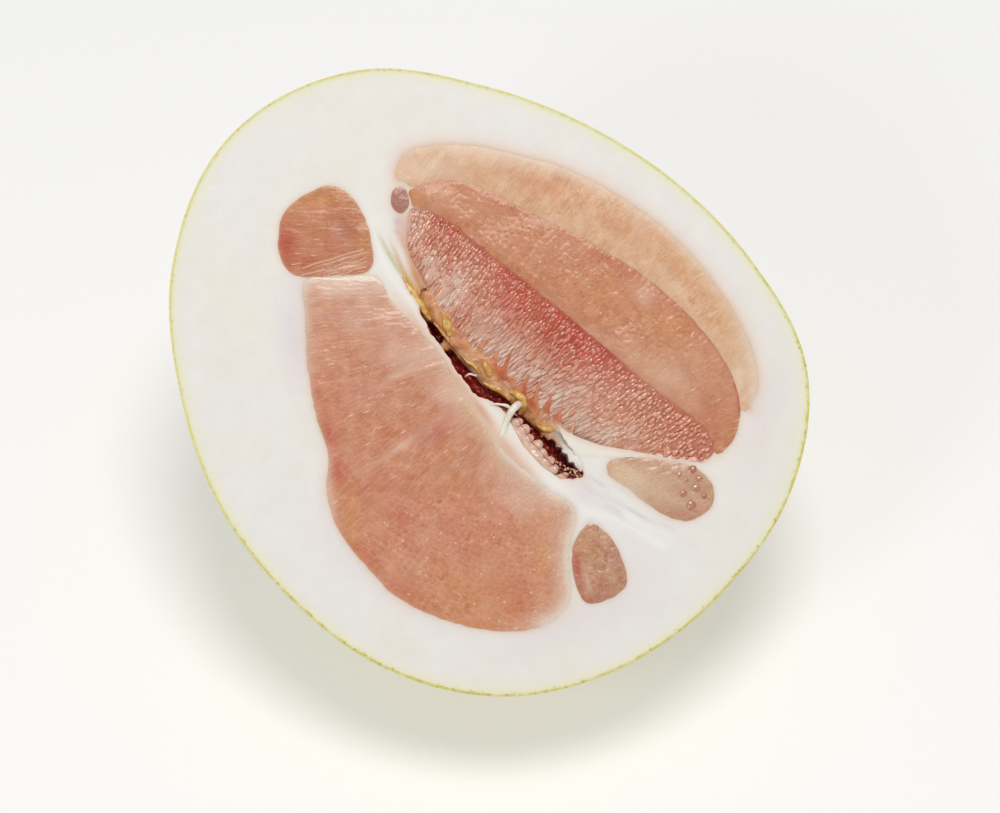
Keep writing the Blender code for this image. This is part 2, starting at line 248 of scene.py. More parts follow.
def rimEdges(faces):
    # The edges that only one face has, in that face's own direction.
    edges = np.concatenate([faces[:, [0, 1]], faces[:, [1, 2]], faces[:, [2, 0]]])
    key = np.sort(edges, 1)
    _, index, count = np.unique(key, axis=0, return_index=True, return_counts=True)
    return edges[index[count == 1]]


def addSkirt(points, faces, levels, middle=None):
    # Walls hung from a sheet's rim. Each level is a height below the face and a draw towards the middle.
    # The last thing returned is the sheet's point that each point takes its marks from.
    edges = rimEdges(faces)
    rim = np.unique(edges)
    place = np.full(len(points), -1)
    place[rim] = np.arange(len(rim))
    top = points[rim]
    rings, walls = [points, top], [faces]   # the rim comes twice, so that the wall doesn't darken the sheet's edge
    above = len(points) + np.arange(len(rim))
    for height, draw in levels:
        ring = top.copy()
        if middle is not None:
            ring[:, :2] += (np.asarray(middle) - top[:, :2]) * draw
        ring[:, 2] = np.minimum(height, top[:, 2] - 0.02)
        first = sum(len(r) for r in rings)
        below = first + np.arange(len(rim))
        a, b = place[edges[:, 0]], place[edges[:, 1]]
        walls.append(np.stack([above[b], above[a], below[a]], 1))
        walls.append(np.stack([above[b], below[a], below[b]], 1))
        rings.append(ring)
        above = below
    source = np.concatenate([np.arange(len(points))] + [rim] * (len(levels) + 1))
    return np.concatenate(rings), np.concatenate(walls), source


def makePiece(name, points, faces, material, slot=None, replaces=(), source=None, **marks):
    # A mesh piece from points in the face's own frame, in millimetres, put where the stand holds the face.
    mesh = bpy.data.meshes.new(name)
    standing = np.array(stand)
    points = np.asarray(points, float) * 0.001 @ standing[:3, :3].T + standing[:3, 3]
    mesh.vertices.add(len(points))
    mesh.vertices.foreach_set("co", points.astype(np.float32).ravel())
    faces = np.asarray(faces, np.int32)
    corners = faces.shape[1]
    mesh.loops.add(faces.size)
    mesh.loops.foreach_set("vertex_index", faces.ravel())
    mesh.polygons.add(len(faces))
    mesh.polygons.foreach_set("loop_start", np.arange(0, faces.size, corners, dtype=np.int32))
    mesh.update(calc_edges=True)
    mesh.validate()
    mesh.shade_smooth()
    for label, values in marks.items():
        layer = mesh.attributes.new(label, "FLOAT", "POINT")
        layer.data.foreach_set("value", np.asarray(values if source is None else values[source], np.float32))
    piece = bpy.data.objects.new(name, mesh)
    bpy.context.scene.collection.objects.link(piece)
    mesh.materials.append(material)
    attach(piece, "root")
    if replaces:
        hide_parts(*replaces)
    print(f"{name}: {len(points)} points, {len(faces)} faces")
    return piece


class Heap:
    # Many small bodies gathered into one mesh, each with its own marks.
    def __init__(self):
        self.points, self.faces, self.marks, self.size = [], [], {}, 0

    def add(self, points, faces, **marks):
        self.points.append(points)
        self.faces.append(np.asarray(faces) + self.size)
        for label, value in marks.items():
            self.marks.setdefault(label, []).append(np.broadcast_to(value, len(points)))
        self.size += len(points)

    def piece(self, name, material, **more):
        marks = {label: np.concatenate(values) for label, values in self.marks.items()}
        return makePiece(name, np.concatenate(self.points), np.concatenate(self.faces), material, **more, **marks)


def tubeFaces(rings, sides):
    faces = []
    for ring in range(rings - 1):
        for side in range(sides):
            a = ring * sides + side
            b = ring * sides + (side + 1) % sides
            faces += [(a, b, b + sides), (a, b + sides, a + sides)]
    first, last = rings * sides, rings * sides + 1
    for side in range(sides):
        ahead = (side + 1) % sides
        faces.append((first, ahead, side))
        top = (rings - 1) * sides
        faces.append((last, top + side, top + ahead))
    return faces


def tube(path, width, height, sides=8, up=(0, 0, 1)):
    # A soft band along a path. Width and height are its half sizes at each point of the path.
    path = np.asarray(path, float)
    along = np.gradient(path, axis=0)
    along /= np.linalg.norm(along, axis=1)[:, None] + 1e-9
    side = np.cross(along, np.asarray(up, float))
    side /= np.linalg.norm(side, axis=1)[:, None] + 1e-9
    rise = np.cross(side, along)
    around = np.linspace(0, 2 * math.pi, sides, endpoint=False)
    width = np.broadcast_to(width, len(path))[:, None, None]
    height = np.broadcast_to(height, len(path))[:, None, None]
    rings = (path[:, None] + np.cos(around)[None, :, None] * width * side[:, None]
             + np.sin(around)[None, :, None] * height * rise[:, None])
    points = np.concatenate([rings.reshape(-1, 3), path[:1] - along[:1] * width[0] * 0.5,
                             path[-1:] + along[-1:] * width[-1] * 0.5])
    return points, tubeFaces(len(path), sides)


def drop(root, tip, width, bend=0.0, sides=8, flatness=0.9):
    # One juice vesicle: a thin stalk at its root, swelling to a round tip. Each point is given how far
    # it is to the tip, and how far it is on top.
    t = np.array([0.0, 0.12, 0.3, 0.5, 0.7, 0.85, 0.95, 1.0])
    shape = np.array([0.22, 0.5, 0.78, 0.95, 1.0, 0.82, 0.48, 0.12])
    root, tip = np.asarray(root, float), np.asarray(tip, float)
    path = root + (tip - root) * t[:, None]
    path[:, 2] += bend * np.sin(math.pi * t)
    points, faces = tube(path, shape * width, shape * width * flatness, sides)
    end = np.concatenate([np.repeat(t, sides), [0, 1]])
    over = points[:-2, 2] - np.repeat(path[:, 2], sides)
    top = np.concatenate([over / np.maximum(1e-6, np.repeat(shape, sides) * width * flatness), [0, 0]])
    return points, faces, end, top


def faceRadius(angles):
    radii = np.array(fruit["faceRadii"])
    place = (angles / (2 * math.pi) * 16) % 16
    index = np.floor(place).astype(int)
    return splinePoints(*[radii[(index + k) % 16] for k in (-1, 0, 1, 2)], place - index)


def towards(fromApex, aside):
    fromApex, aside = math.radians(fromApex), math.radians(aside)
    direction = np.array([math.sin(aside), -math.sin(fromApex), -math.cos(fromApex)])
    return direction / np.linalg.norm(direction)


def onFruit(directions):
    power = fruit["domePower"]
    across = np.hypot(directions[:, 0], directions[:, 1])
    across = across / faceRadius(np.arctan2(directions[:, 1], directions[:, 0]))
    deep = np.abs(directions[:, 2]) / fruit["domeDepth"]
    reach = (across ** power + deep ** power) ** (-1 / power)
    full = directions @ towards(fruit["fullFromApex"], fruit["fullAside"])
    off = np.arccos(np.clip(full, -1, 1)) / math.radians(fruit["fullSpread"])
    return directions * (reach + fruit["fullness"] * np.exp(-off ** 2))[:, None]


def paintedLightFromAbove(places):
    # Painted light: the skin's cut edge is painted paler towards the top and the left, where the light falls on it.
    return smoothStep(-45, 35, places[:, 1] - 0.5 * places[:, 0]) * 0.8


def settle(points):
    # Presses what would reach below the floor onto the flat spot, with a soft edge.
    lean = math.radians(fruit["lean"])
    up = np.array([0, math.sin(lean), math.cos(lean)])
    height = points @ up + fruit["faceMiddle"][2]
    soft = fruit["footRounding"]
    flat = np.where(height <= -soft, 0, np.where(height >= soft, height, (height + soft) ** 2 / (4 * soft)))
    return points + (flat - height)[:, None] * up


print("helpers ready")

view = {
    "azimuth": -3, "elevation": 51,   # almost square to the face, from a little low and to the left
    "lens": 120, "frameWidth": 0.252,   # how wide the view is at the fruit
    "aim": (0.002, -0.012, 0.077),
}
azimuth, elevation = math.radians(view["azimuth"]), math.radians(view["elevation"])
back = Vector((math.sin(azimuth) * math.cos(elevation), -math.cos(azimuth) * math.cos(elevation),
               math.sin(elevation)))
camera = bpy.data.objects.new("camera", bpy.data.cameras.new("camera"))
bpy.context.scene.collection.objects.link(camera)
camera.data.lens = view["lens"]
camera.data.sensor_width = 36
camera.location = Vector(view["aim"]) + back * (view["frameWidth"] * view["lens"] / 36)
camera.rotation_euler = back.to_track_quat("Z", "Y").to_euler()
camera.data.clip_start, camera.data.clip_end = 0.01, 20
bpy.context.scene.camera = camera
bpy.context.scene.view_settings.view_transform = "Standard"

light = {
    "skyStrength": 0.40, "skyColour": "#F7F8FA",
    "key": {"place": (0.08, -0.22, 1.40), "size": 0.48, "power": 9.6, "colour": "#FFFBF5"},
    "fill": {"place": (-0.75, -0.85, 0.95), "size": 0.36, "power": 3.2, "colour": "#F8FAFF"},
    "floorColour": "#D3D3D3", "floorGlow": 0.34,
}
world = bpy.data.worlds.new("studio")
bpy.context.scene.world = world
world.use_nodes = True
world.node_tree.nodes["Background"].inputs["Color"].default_value = toLinear(light["skyColour"])
world.node_tree.nodes["Background"].inputs["Strength"].default_value = light["skyStrength"]
for name in ("key", "fill"):
    lamp = bpy.data.objects.new(name + "Light", bpy.data.lights.new(name + "Light", "AREA"))
    lamp.data.shape = "DISK"
    lamp.data.size = light[name]["size"]
    lamp.data.energy = light[name]["power"]
    lamp.data.color = toLinear(light[name]["colour"])[:3]
    lamp.location = light[name]["place"]
    lamp.rotation_euler = (Vector(light[name]["place"]) - Vector((0, 0, 0.06))).to_track_quat("Z", "Y").to_euler()
    bpy.context.scene.collection.objects.link(lamp)

paper = bpy.data.materials.new("mattWhitePaper")   # a seamless sheet of paper: pale, without gloss
paper.use_nodes = True
paperShader = paper.node_tree.nodes["Principled BSDF"]
paperShader.inputs["Base Color"].default_value = toLinear(light["floorColour"])
paperShader.inputs["Roughness"].default_value = 0.9
paperShader.inputs["Emission Color"].default_value = (1, 1, 1, 1)   # lit through from below, as on a light table
paperShader.inputs["Emission Strength"].default_value = light["floorGlow"]
paperShader.inputs["Specular IOR Level"].default_value = 0.2
floorMesh = bpy.data.meshes.new("floor")
corner = 3.0
floorMesh.from_pydata([(-corner, -corner, 0), (corner, -corner, 0), (corner, corner, 0), (-corner, corner, 0)], [],
                      [(0, 1, 2, 3)])
floor = bpy.data.objects.new("floor", floorMesh)
floorMesh.materials.append(paper)
bpy.context.scene.collection.objects.link(floor)
print("camera, floor and light ready")


def startMaterial(name):
    material = bpy.data.materials.new(name)
    material.use_nodes = True
    tree = material.node_tree
    return material, tree, tree.nodes["Principled BSDF"]


def mixColour(tree, amount, first, second):
    # One colour laid over another by an amount. Each is a hex value or another node's output.
    first, second = (toLinear(c) if isinstance(c, str) else c for c in (first, second))
    node = addNode(tree, "Mix", {0: amount, 6: first, 7: second}, data_type="RGBA", clamp_factor=True)
    return node.outputs[2]


def mark(tree, name):
    return addNode(tree, "Attribute", attribute_name=name).outputs["Fac"]


rindLook = {
    "yellow": "#E0D588", "deepYellow": "#D3C545", "paleYellow": "#E7DD9C", "gland": "#BEBB4E",
    "glandSpacing": 1.9, "glandDepth": 0.22,   # millimetres
    "blush": "#C9C25A", "freckle": "#A08A4E",
    "roughness": 0.40, "ior": 1.45,
    "cutLine": "#CEC452", "cutGland": "#B5B03A", "cutPale": "#E3DC92", "underSkin": "#E8E4BC", "scar": "#8F8A55",
}


def addCutSkin(tree, place, colour, look):
    # Where the knife went through the skin: a yellow-green line dotted with cut oil glands 1.5 mm apart,
    # which fades into the white below it within two or three millimetres. Its clouds are 2.4 mm wide.
    cloud = addNode(tree, "TexNoise", {"Vector": place, "Scale": 420.0, "Detail": 3.0,
                                       "Roughness": 0.6}).outputs["Fac"]
    ragged = addNode(tree, "Math", {0: cloud, 1: 1.3, 2: mark(tree, "rimDistance")}, operation="MULTIPLY_ADD")
    tint = addNode(tree, "MapRange", {"Value": ragged, "From Min": 1.0, "From Max": 2.6, "To Min": 0.75,
                                      "To Max": 0.0}, interpolation_type="SMOOTHSTEP")
    colour = mixColour(tree, tint, colour, look["underSkin"])
    line = addNode(tree, "MapRange", {"Value": ragged, "From Min": 0.80, "From Max": 1.50, "To Min": 1.0,
                                      "To Max": 0.0}, interpolation_type="SMOOTHSTEP")
    tone = addNode(tree, "MapRange", {"Value": cloud, "From Min": 0.38, "From Max": 0.62, "To Max": 0.45})
    lineColour = mixColour(tree, tone, look["cutLine"], look["cutPale"])
    # painted light: the cut line is painted paler towards the top and the left
    lineColour = mixColour(tree, mark(tree, "above"), lineColour, look["cutPale"])
    colour = mixColour(tree, line, colour, lineColour)
    glands = addNode(tree, "TexVoronoi", {"Vector": place, "Scale": 1000 / 1.5, "Randomness": 1.0})
    gland = addNode(tree, "MapRange", {"Value": glands.outputs["Distance"], "From Min": 0.14, "From Max": 0.40,
                                       "To Min": 0.85, "To Max": 0.0}, interpolation_type="SMOOTHSTEP")
    near = addNode(tree, "MapRange", {"Value": mark(tree, "rimDistance"), "From Min": 0.5, "From Max": 1.3,
                                      "To Min": 1.0, "To Max": 0.0})
    # painted light: fewer cut glands show towards the top and the left
    share = addNode(tree, "Math", {0: mark(tree, "above"), 1: -0.75, 2: 1.0}, operation="MULTIPLY_ADD")
    amount = addNode(tree, "Math", {0: gland, 1: near}, operation="MULTIPLY")
    amount = addNode(tree, "Math", {0: amount, 1: share}, operation="MULTIPLY")
    return mixColour(tree, amount, colour, look["cutGland"])


def makeRindMaterial(look):
    # Flavedo, the oily outer rind: yellow and slightly waxy, so it has a broad soft sheen, with oil
    # glands that read as darker, greener dots in small pits.
    material, tree, shader = startMaterial("waxyFlavedo")
    place = addNode(tree, "TexCoord").outputs["Object"]
    wobble = addNode(tree, "TexNoise", {"Vector": place, "Scale": 260.0, "Detail": 2.0})
    drift = addNode(tree, "VectorMath", {0: wobble.outputs["Color"], 1: (0.5, 0.5, 0.5)}, operation="SUBTRACT")
    drift = addNode(tree, "VectorMath", {0: drift, "Scale": 0.0012}, operation="SCALE")
    moved = addNode(tree, "VectorMath", {0: place, 1: drift}, operation="ADD")
    glands = addNode(tree, "TexVoronoi", {"Vector": moved, "Scale": 1000 / look["glandSpacing"],
                                          "Randomness": 0.85})
    dots = addNode(tree, "MapRange", {"Value": glands.outputs["Distance"], "From Min": 0.16, "From Max": 0.46,
                                      "To Min": 1.0, "To Max": 0.0}, interpolation_type="SMOOTHSTEP")
    strengthNoise = addNode(tree, "TexNoise", {"Vector": place, "Scale": 55.0, "Detail": 3.0})
    tone = addNode(tree, "MapRange", {"Value": strengthNoise.outputs["Fac"], "From Min": 0.3, "From Max": 0.7})
    broad = addNode(tree, "TexNoise", {"Vector": place, "Scale": 14.0, "Detail": 2.0})
    broadTone = addNode(tree, "MapRange", {"Value": broad.outputs["Fac"], "From Min": 0.35, "From Max": 0.68})
    colour = mixColour(tree, broadTone, look["yellow"], look["paleYellow"])
    colour = mixColour(tree, mark(tree, "stemEnd"), colour, look["deepYellow"])
    blotch = addNode(tree, "TexNoise", {"Vector": place, "Scale": 120.0, "Detail": 4.0, "Roughness": 0.6})
    blushed = addNode(tree, "MapRange", {"Value": blotch.outputs["Fac"], "From Min": 0.45, "From Max": 0.70,
                                         "To Max": 0.45})
    colour = mixColour(tree, blushed, colour, look["blush"])
    shown = addNode(tree, "MapRange", {"Value": tone, "To Min": 0.35, "To Max": 0.95})
    dotAmount = addNode(tree, "Math", {0: dots, 1: shown}, operation="MULTIPLY")
    colour = mixColour(tree, dotAmount, colour, look["gland"])
    # a few brown freckles, one to two millimetres wide, where the skin was rubbed
    rubs = addNode(tree, "TexVoronoi", {"Vector": moved, "Scale": 1000 / 7.0, "Randomness": 1.0})
    lot = addNode(tree, "SeparateColor", {"Color": rubs.outputs["Color"]})
    size = addNode(tree, "MapRange", {"Value": lot, "From Min": 0.55, "From Max": 1.0, "To Max": 0.13})
    rubbed = addNode(tree, "Math", {0: rubs.outputs["Distance"], 1: size}, operation="LESS_THAN")
    rubbed = addNode(tree, "Math", {0: rubbed, 1: 0.55}, operation="MULTIPLY")
    colour = mixColour(tree, rubbed, colour, look["freckle"])
    colour = mixColour(tree, mark(tree, "scar"), colour, look["scar"])
    colour = mixColour(tree, mark(tree, "cut"), colour, addCutSkin(tree, place, look["underSkin"], look))
    pits = addNode(tree, "MapRange", {"Value": glands.outputs["Distance"], "From Min": 0.0, "From Max": 0.5},
                   interpolation_type="SMOOTHSTEP")
    grain = addNode(tree, "TexNoise", {"Vector": place, "Scale": 1900.0, "Detail": 3.0, "Roughness": 0.6})
    relief = addNode(tree, "Math", {0: grain.outputs["Fac"], 1: 0.25, 2: pits}, operation="MULTIPLY_ADD")
    bump = addNode(tree, "Bump", {"Height": relief, "Distance": look["glandDepth"] / 1000, "Strength": 0.9})
    gloss = addNode(tree, "MapRange", {"Value": strengthNoise.outputs["Fac"], "To Min": look["roughness"] - 0.06,
                                       "To Max": look["roughness"] + 0.14})
    setInputs(tree, shader, {"Base Color": colour, "Roughness": gloss, "Normal": bump,
                             "IOR": look["ior"], "Subsurface Weight": 0.15,
                             "Subsurface Radius": (1.0, 0.8, 0.3), "Subsurface Scale": 0.0008})
    return material


albedoLook = {
    "white": "#E6E3DF", "coreWhite": "#EDEBE7", "warm": "#E7E2D8", "lilac": "#E0D7DA", "yellow": "#E8E6CE",
    "seep": "#DFB99C", "gum": "#CB9068", "shade": "#CBC7C4", "amber": "#C99A3C", "olive": "#B5AE72",
    "lip": "#E6CFC0", "crest": "#EAE4CF",
    "crumb": 0.45, "crumbDepth": 0.10,   # millimetres
    "roughness": 0.62,
}


def makeAlbedoMaterial(look):
    # Albedo, the white pith: a moist sponge of fine cells. It scatters light deeply, so its shadows are
    # soft and warm, and it has only a faint sheen.
    material, tree, shader = startMaterial("spongyAlbedo")
    place = addNode(tree, "TexCoord").outputs["Object"]
    broad = addNode(tree, "TexNoise", {"Vector": place, "Scale": 45.0, "Detail": 3.0})
    warm = addNode(tree, "MapRange", {"Value": broad.outputs["Fac"], "From Min": 0.42, "From Max": 0.66})
    mottle = addNode(tree, "TexNoise", {"Vector": place, "Scale": 170.0, "Detail": 4.0, "Roughness": 0.6})
    mottled = addNode(tree, "MapRange", {"Value": mottle.outputs["Fac"], "From Min": 0.35, "From Max": 0.75,
                                         "To Max": 0.5})
    colour = mixColour(tree, warm, look["white"], look["warm"])
    colour = mixColour(tree, mottled, colour, look["coreWhite"])
    colour = mixColour(tree, mark(tree, "lilac"), colour, look["lilac"])
    fade = addNode(tree, "MapRange", {"Value": mark(tree, "rimDistance"), "From Min": 0.8, "From Max": 5.0,
                                      "To Min": 0.85, "To Max": 0.0}, interpolation_type="SMOOTHERSTEP")
    fade = addNode(tree, "Math", {0: fade, 1: 1.7}, operation="POWER")
    colour = mixColour(tree, fade, colour, look["yellow"])
    colour = mixColour(tree, mark(tree, "core"), colour, look["coreWhite"])
    # the first of these lays painted shade and grey streaks over the white; the rest are the pith's own stains and
    # tints
    for name in ("shade", "seep", "gum", "amber", "olive", "lip", "crest"):
        colour = mixColour(tree, mark(tree, name), colour, look[name])
    colour = addCutSkin(tree, place, colour, rindLook)
    crumb = addNode(tree, "TexNoise", {"Vector": place, "Scale": 1000 / look["crumb"] / 2, "Detail": 3.0,
                                       "Roughness": 0.65})
    cells = addNode(tree, "TexVoronoi", {"Vector": place, "Scale": 1000 / (look["crumb"] * 2.4), "Randomness": 1.0})
    relief = addNode(tree, "Math", {0: cells.outputs["Distance"], 1: 0.6, 2: crumb.outputs["Fac"]},
                     operation="MULTIPLY_ADD")
    bump = addNode(tree, "Bump", {"Height": relief, "Distance": look["crumbDepth"] / 1000, "Strength": 0.55})
    setInputs(tree, shader, {"Base Color": colour, "Normal": bump, "Roughness": look["roughness"],
                             "IOR": 1.36, "Subsurface Weight": 0.3, "Subsurface Radius": (1.0, 0.9, 0.8),
                             "Subsurface Scale": 0.0016})
    return material


fleshLook = {
    # in each look, the last number sets how strongly its painted glints are laid on
    "salmon": {"deep": "#BC724C", "light": "#D39775", "pink": "#CE957C", "red": "#B94A33", "pale": "#E0C1AE",
               "amber": "#CF9350",
               "seam": "#EFD8C8", "edge": "#DAA988", "veil": "#E5D5C4", "purple": "#B37375", "paintedGlint": 0.50},
    "apricot": {"deep": "#B2693E", "light": "#CB8E67", "pink": "#C98B6C", "red": "#B34429", "pale": "#DDB9A2",
                "amber": "#CB8A46",
                "seam": "#E8C6AE", "edge": "#D6A37F", "veil": "#E4D3C0", "purple": "#A9686A", "paintedGlint": 0.60},
    "rose": {"deep": "#B7644B", "light": "#D28E70", "pink": "#C67A68", "red": "#AC3A2B", "pale": "#DDBDAC",
             "amber": "#C9713F",
             "seam": "#DDA592", "edge": "#CC927C", "veil": "#E3CBBA", "purple": "#AC5A5A", "paintedGlint": 0.3},
    "tan": {"deep": "#A46C4C", "light": "#CB9F80", "pink": "#BA8870", "red": "#B5402F", "pale": "#DAC2A2",
            "amber": "#C79355",
            "seam": "#DAB79B", "edge": "#C59C80", "veil": "#E2D2BD", "purple": "#A2665A", "paintedGlint": 0.45},
    "veiled": {"deep": "#C99168", "light": "#E1C09F", "pink": "#D8B093", "red": "#CB8960", "pale": "#E5D0BA",
               "amber": "#D4A36B",
               "seam": "#E4C8B0", "edge": "#E0C2A6", "veil": "#E6D9C8", "purple": "#C99A8C", "paintedGlint": 0.15},
}


def makeFleshMaterial(name, look, wet=0.35, rough=0.32, grain=1.0):
    # Cut juice vesicles: thin clear skins full of pink juice. Light goes well into them, and the film of juice on
    # the cut gives small sharp glints over a soft shine; more small glints are painted into the colour.
    material, tree, shader = startMaterial(name)
    fibre = addNode(tree, "CombineXYZ", {"X": mark(tree, "along"), "Y": mark(tree, "across")})
    # streaks 3 mm long and 0.4 mm wide where the vesicles lie along the cut, round spots where they end in it
    stretched = addNode(tree, "VectorMath", {0: fibre, 1: (0.33, 2.4, 1.0)}, operation="MULTIPLY")
    streaks = addNode(tree, "TexNoise", {"Vector": stretched, "Scale": 1.0, "Detail": 3.0, "Roughness": 0.6})
    tips = addNode(tree, "TexNoise", {"Vector": fibre, "Scale": 0.85, "Detail": 3.0, "Roughness": 0.65})
    streak = addNode(tree, "Mix", {0: mark(tree, "round"), 2: streaks.outputs["Fac"], 3: tips.outputs["Fac"]})
    streak = addNode(tree, "Math", {0: streak, 1: 0.5}, operation="SUBTRACT")
    patches = addNode(tree, "TexNoise", {"Vector": fibre, "Scale": 0.17, "Detail": 3.0, "Roughness": 0.55})
    shown = addNode(tree, "MapRange", {"Value": patches.outputs["Fac"], "From Min": 0.38, "From Max": 0.62,
                                       "To Min": 0.5, "To Max": 1.7})
    streak = addNode(tree, "Math", {0: streak, 1: shown}, operation="MULTIPLY")
    specks = addNode(tree, "TexNoise", {"Vector": fibre, "Scale": 1.5, "Detail": 3.0, "Roughness": 0.6})
    clouds = addNode(tree, "TexNoise", {"Vector": fibre, "Scale": 0.30, "Detail": 3.0, "Roughness": 0.6,
                                        "Distortion": 0.4})
    tone = addNode(tree, "Math", {0: specks.outputs["Fac"], 1: 0.7, 2: streak}, operation="MULTIPLY_ADD")
    tone = addNode(tree, "Math", {0: clouds.outputs["Fac"], 1: 1.5, 2: tone}, operation="MULTIPLY_ADD")
    tone = addNode(tree, "Math", {0: mark(tree, "tone"), 1: 0.12, 2: tone}, operation="MULTIPLY_ADD")
    tone = addNode(tree, "MapRange", {"Value": tone, "From Min": 0.70, "From Max": 1.50})
    # painted glints: pale dashes along the fibres and dots where the vesicles end in the cut, painted where the wet
    # skins would catch the light
    dashed = addNode(tree, "VectorMath", {0: fibre, 1: (0.20, 1.0, 1.0)}, operation="MULTIPLY")
    dotted = addNode(tree, "VectorMath", {0: fibre, 1: (0.52, 0.52, 1.0)}, operation="MULTIPLY")
    where = addNode(tree, "Mix", {0: mark(tree, "round"), 4: dashed, 5: dotted}, data_type="VECTOR").outputs[1]
    sites = addNode(tree, "TexVoronoi", {"Vector": where, "Scale": 1.0, "Randomness": 1.0})
    far = addNode(tree, "Math", {0: specks.outputs["Fac"], 1: 0.25, 2: sites.outputs["Distance"]},
                  operation="MULTIPLY_ADD")
    spot = addNode(tree, "MapRange", {"Value": far, "From Min": 0.20, "From Max": 0.37, "To Min": 1.0,
                                      "To Max": 0.0}, interpolation_type="SMOOTHSTEP")
    lot = addNode(tree, "SeparateColor", {"Color": sites.outputs["Color"]})
    present = addNode(tree, "MapRange", {"Value": lot, "From Min": 0.35, "From Max": 0.80})
    paintedGlint = addNode(tree, "Math", {0: spot, 1: present}, operation="MULTIPLY")
    shown = addNode(tree, "MapRange", {"Value": mark(tree, "round"), "To Min": look["paintedGlint"] * 1.5,
                                       "To Max": look["paintedGlint"]})
    paintedGlints = addNode(tree, "Math", {0: paintedGlint, 1: shown}, operation="MULTIPLY")
    flush = addNode(tree, "TexNoise", {"Vector": fibre, "Scale": 0.11, "Detail": 2.0})
    flushed = addNode(tree, "MapRange", {"Value": flush.outputs["Fac"], "From Min": 0.42, "From Max": 0.62,
                                         "To Max": 0.45})
    colour = mixColour(tree, tone, look["deep"], look["light"])
    colour = mixColour(tree, flushed, colour, look["pink"])
    colour = mixColour(tree, mark(tree, "red"), colour, look["red"])
    colour = mixColour(tree, mark(tree, "amber"), colour, look["amber"])
    # painted glints, in the pale seam colour
    colour = mixColour(tree, paintedGlints, colour, look["seam"])
    for name in ("purple", "seam", "pale", "edge", "veil"):
        colour = mixColour(tree, mark(tree, name), colour, look[name])
    relief = addNode(tree, "Math", {0: specks.outputs["Fac"], 1: 0.6, 2: streak}, operation="MULTIPLY_ADD")
    relief = addNode(tree, "Math", {0: paintedGlint, 1: 0.5, 2: relief}, operation="MULTIPLY_ADD")
    bump = addNode(tree, "Bump", {"Height": relief, "Distance": 0.00020 * grain, "Strength": 0.9})
    gloss = addNode(tree, "MapRange", {"Value": specks.outputs["Fac"], "From Min": 0.35, "From Max": 0.65,
                                       "To Min": rough + 0.12, "To Max": rough - 0.08})
    setInputs(tree, shader, {"Base Color": colour, "Roughness": gloss, "Normal": bump,
                             "IOR": 1.36, "Subsurface Weight": 0.45, "Subsurface Radius": (1.0, 0.35, 0.22),
                             "Subsurface Scale": 0.0011, "Coat Weight": wet, "Coat Roughness": 0.13,
                             "Coat IOR": 1.42})
    return material


# painted shade: the walls darken from the top colour to the deep one with depth
cavityLook = {"top": "#B85A3E", "middle": "#A02C1E", "deep": "#8E1C12"}


def makeCavityMaterial(look):
    # The wet walls of the crevice: red flesh that the light barely reaches, painted darker the deeper it goes, as
    # painted shade.
    material, tree, shader = startMaterial("redCavityWithPaintedShade")
    depth = mark(tree, "depth")
    upper = addNode(tree, "MapRange", {"Value": depth, "From Min": 0.8, "From Max": 4.5})
    lower = addNode(tree, "MapRange", {"Value": depth, "From Min": 4.0, "From Max": 12.0})
    colour = mixColour(tree, upper, look["top"], look["middle"])
    colour = mixColour(tree, lower, colour, look["deep"])
    place = addNode(tree, "TexCoord").outputs["Object"]
    grain = addNode(tree, "TexNoise", {"Vector": place, "Scale": 700.0, "Detail": 3.0})
    bump = addNode(tree, "Bump", {"Height": grain.outputs["Fac"], "Distance": 0.0004, "Strength": 0.7})
    setInputs(tree, shader, {"Base Color": colour, "Normal": bump, "Roughness": 0.35,
                             "Coat Weight": 0.4, "Coat Roughness": 0.12})
    return material


def makeThreadMaterial(name, dull, paintedLitColour, sheer, wet=0.3):
    # Thin dried membrane: a tough film, its colour running in patches from dull to a lighter one that is painted
    # light, standing in for light shining through it and for its sheen.
    material, tree, shader = startMaterial(name)
    place = addNode(tree, "TexCoord").outputs["Object"]
    cloud = addNode(tree, "TexNoise", {"Vector": place, "Scale": 420.0, "Detail": 3.0, "Roughness": 0.6})
    tone = addNode(tree, "MapRange", {"Value": cloud.outputs["Fac"], "From Min": 0.40, "From Max": 0.66})
    tone = addNode(tree, "Math", {0: mark(tree, "tone"), 1: 0.3, 2: tone}, operation="MULTIPLY_ADD",
                   use_clamp=True)
    colour = mixColour(tree, tone, dull, paintedLitColour)
    bump = addNode(tree, "Bump", {"Height": cloud.outputs["Fac"], "Distance": 0.00018, "Strength": 0.6})
    # so thin that the colours must scatter alike, or the red would be lost through it and leave it blue
    setInputs(tree, shader, {"Base Color": colour, "Normal": bump, "Roughness": 0.42,
                             "Subsurface Weight": sheer, "Subsurface Radius": (1.0, 0.9, 0.8),
                             "Subsurface Scale": 0.0003, "Coat Weight": wet, "Coat Roughness": 0.15})
    return material


waxyFlavedo = makeRindMaterial(rindLook)
spongyAlbedo = makeAlbedoMaterial(albedoLook)
salmonVesicles = makeFleshMaterial("salmonVesicles", fleshLook["salmon"])
apricotVesicles = makeFleshMaterial("apricotVesicles", fleshLook["apricot"], wet=0.28, rough=0.36, grain=0.8)
roseVesicles = makeFleshMaterial("roseVesicles", fleshLook["rose"], wet=0.5, rough=0.28)
tanVesicles = makeFleshMaterial("tanVesicles", fleshLook["tan"], wet=0.4, rough=0.28, grain=0.7)
veiledVesicles = makeFleshMaterial("veiledVesicles", fleshLook["veiled"], wet=0.10, rough=0.46, grain=0.5)
redCavityWithPaintedShade = makeCavityMaterial(cavityLook)
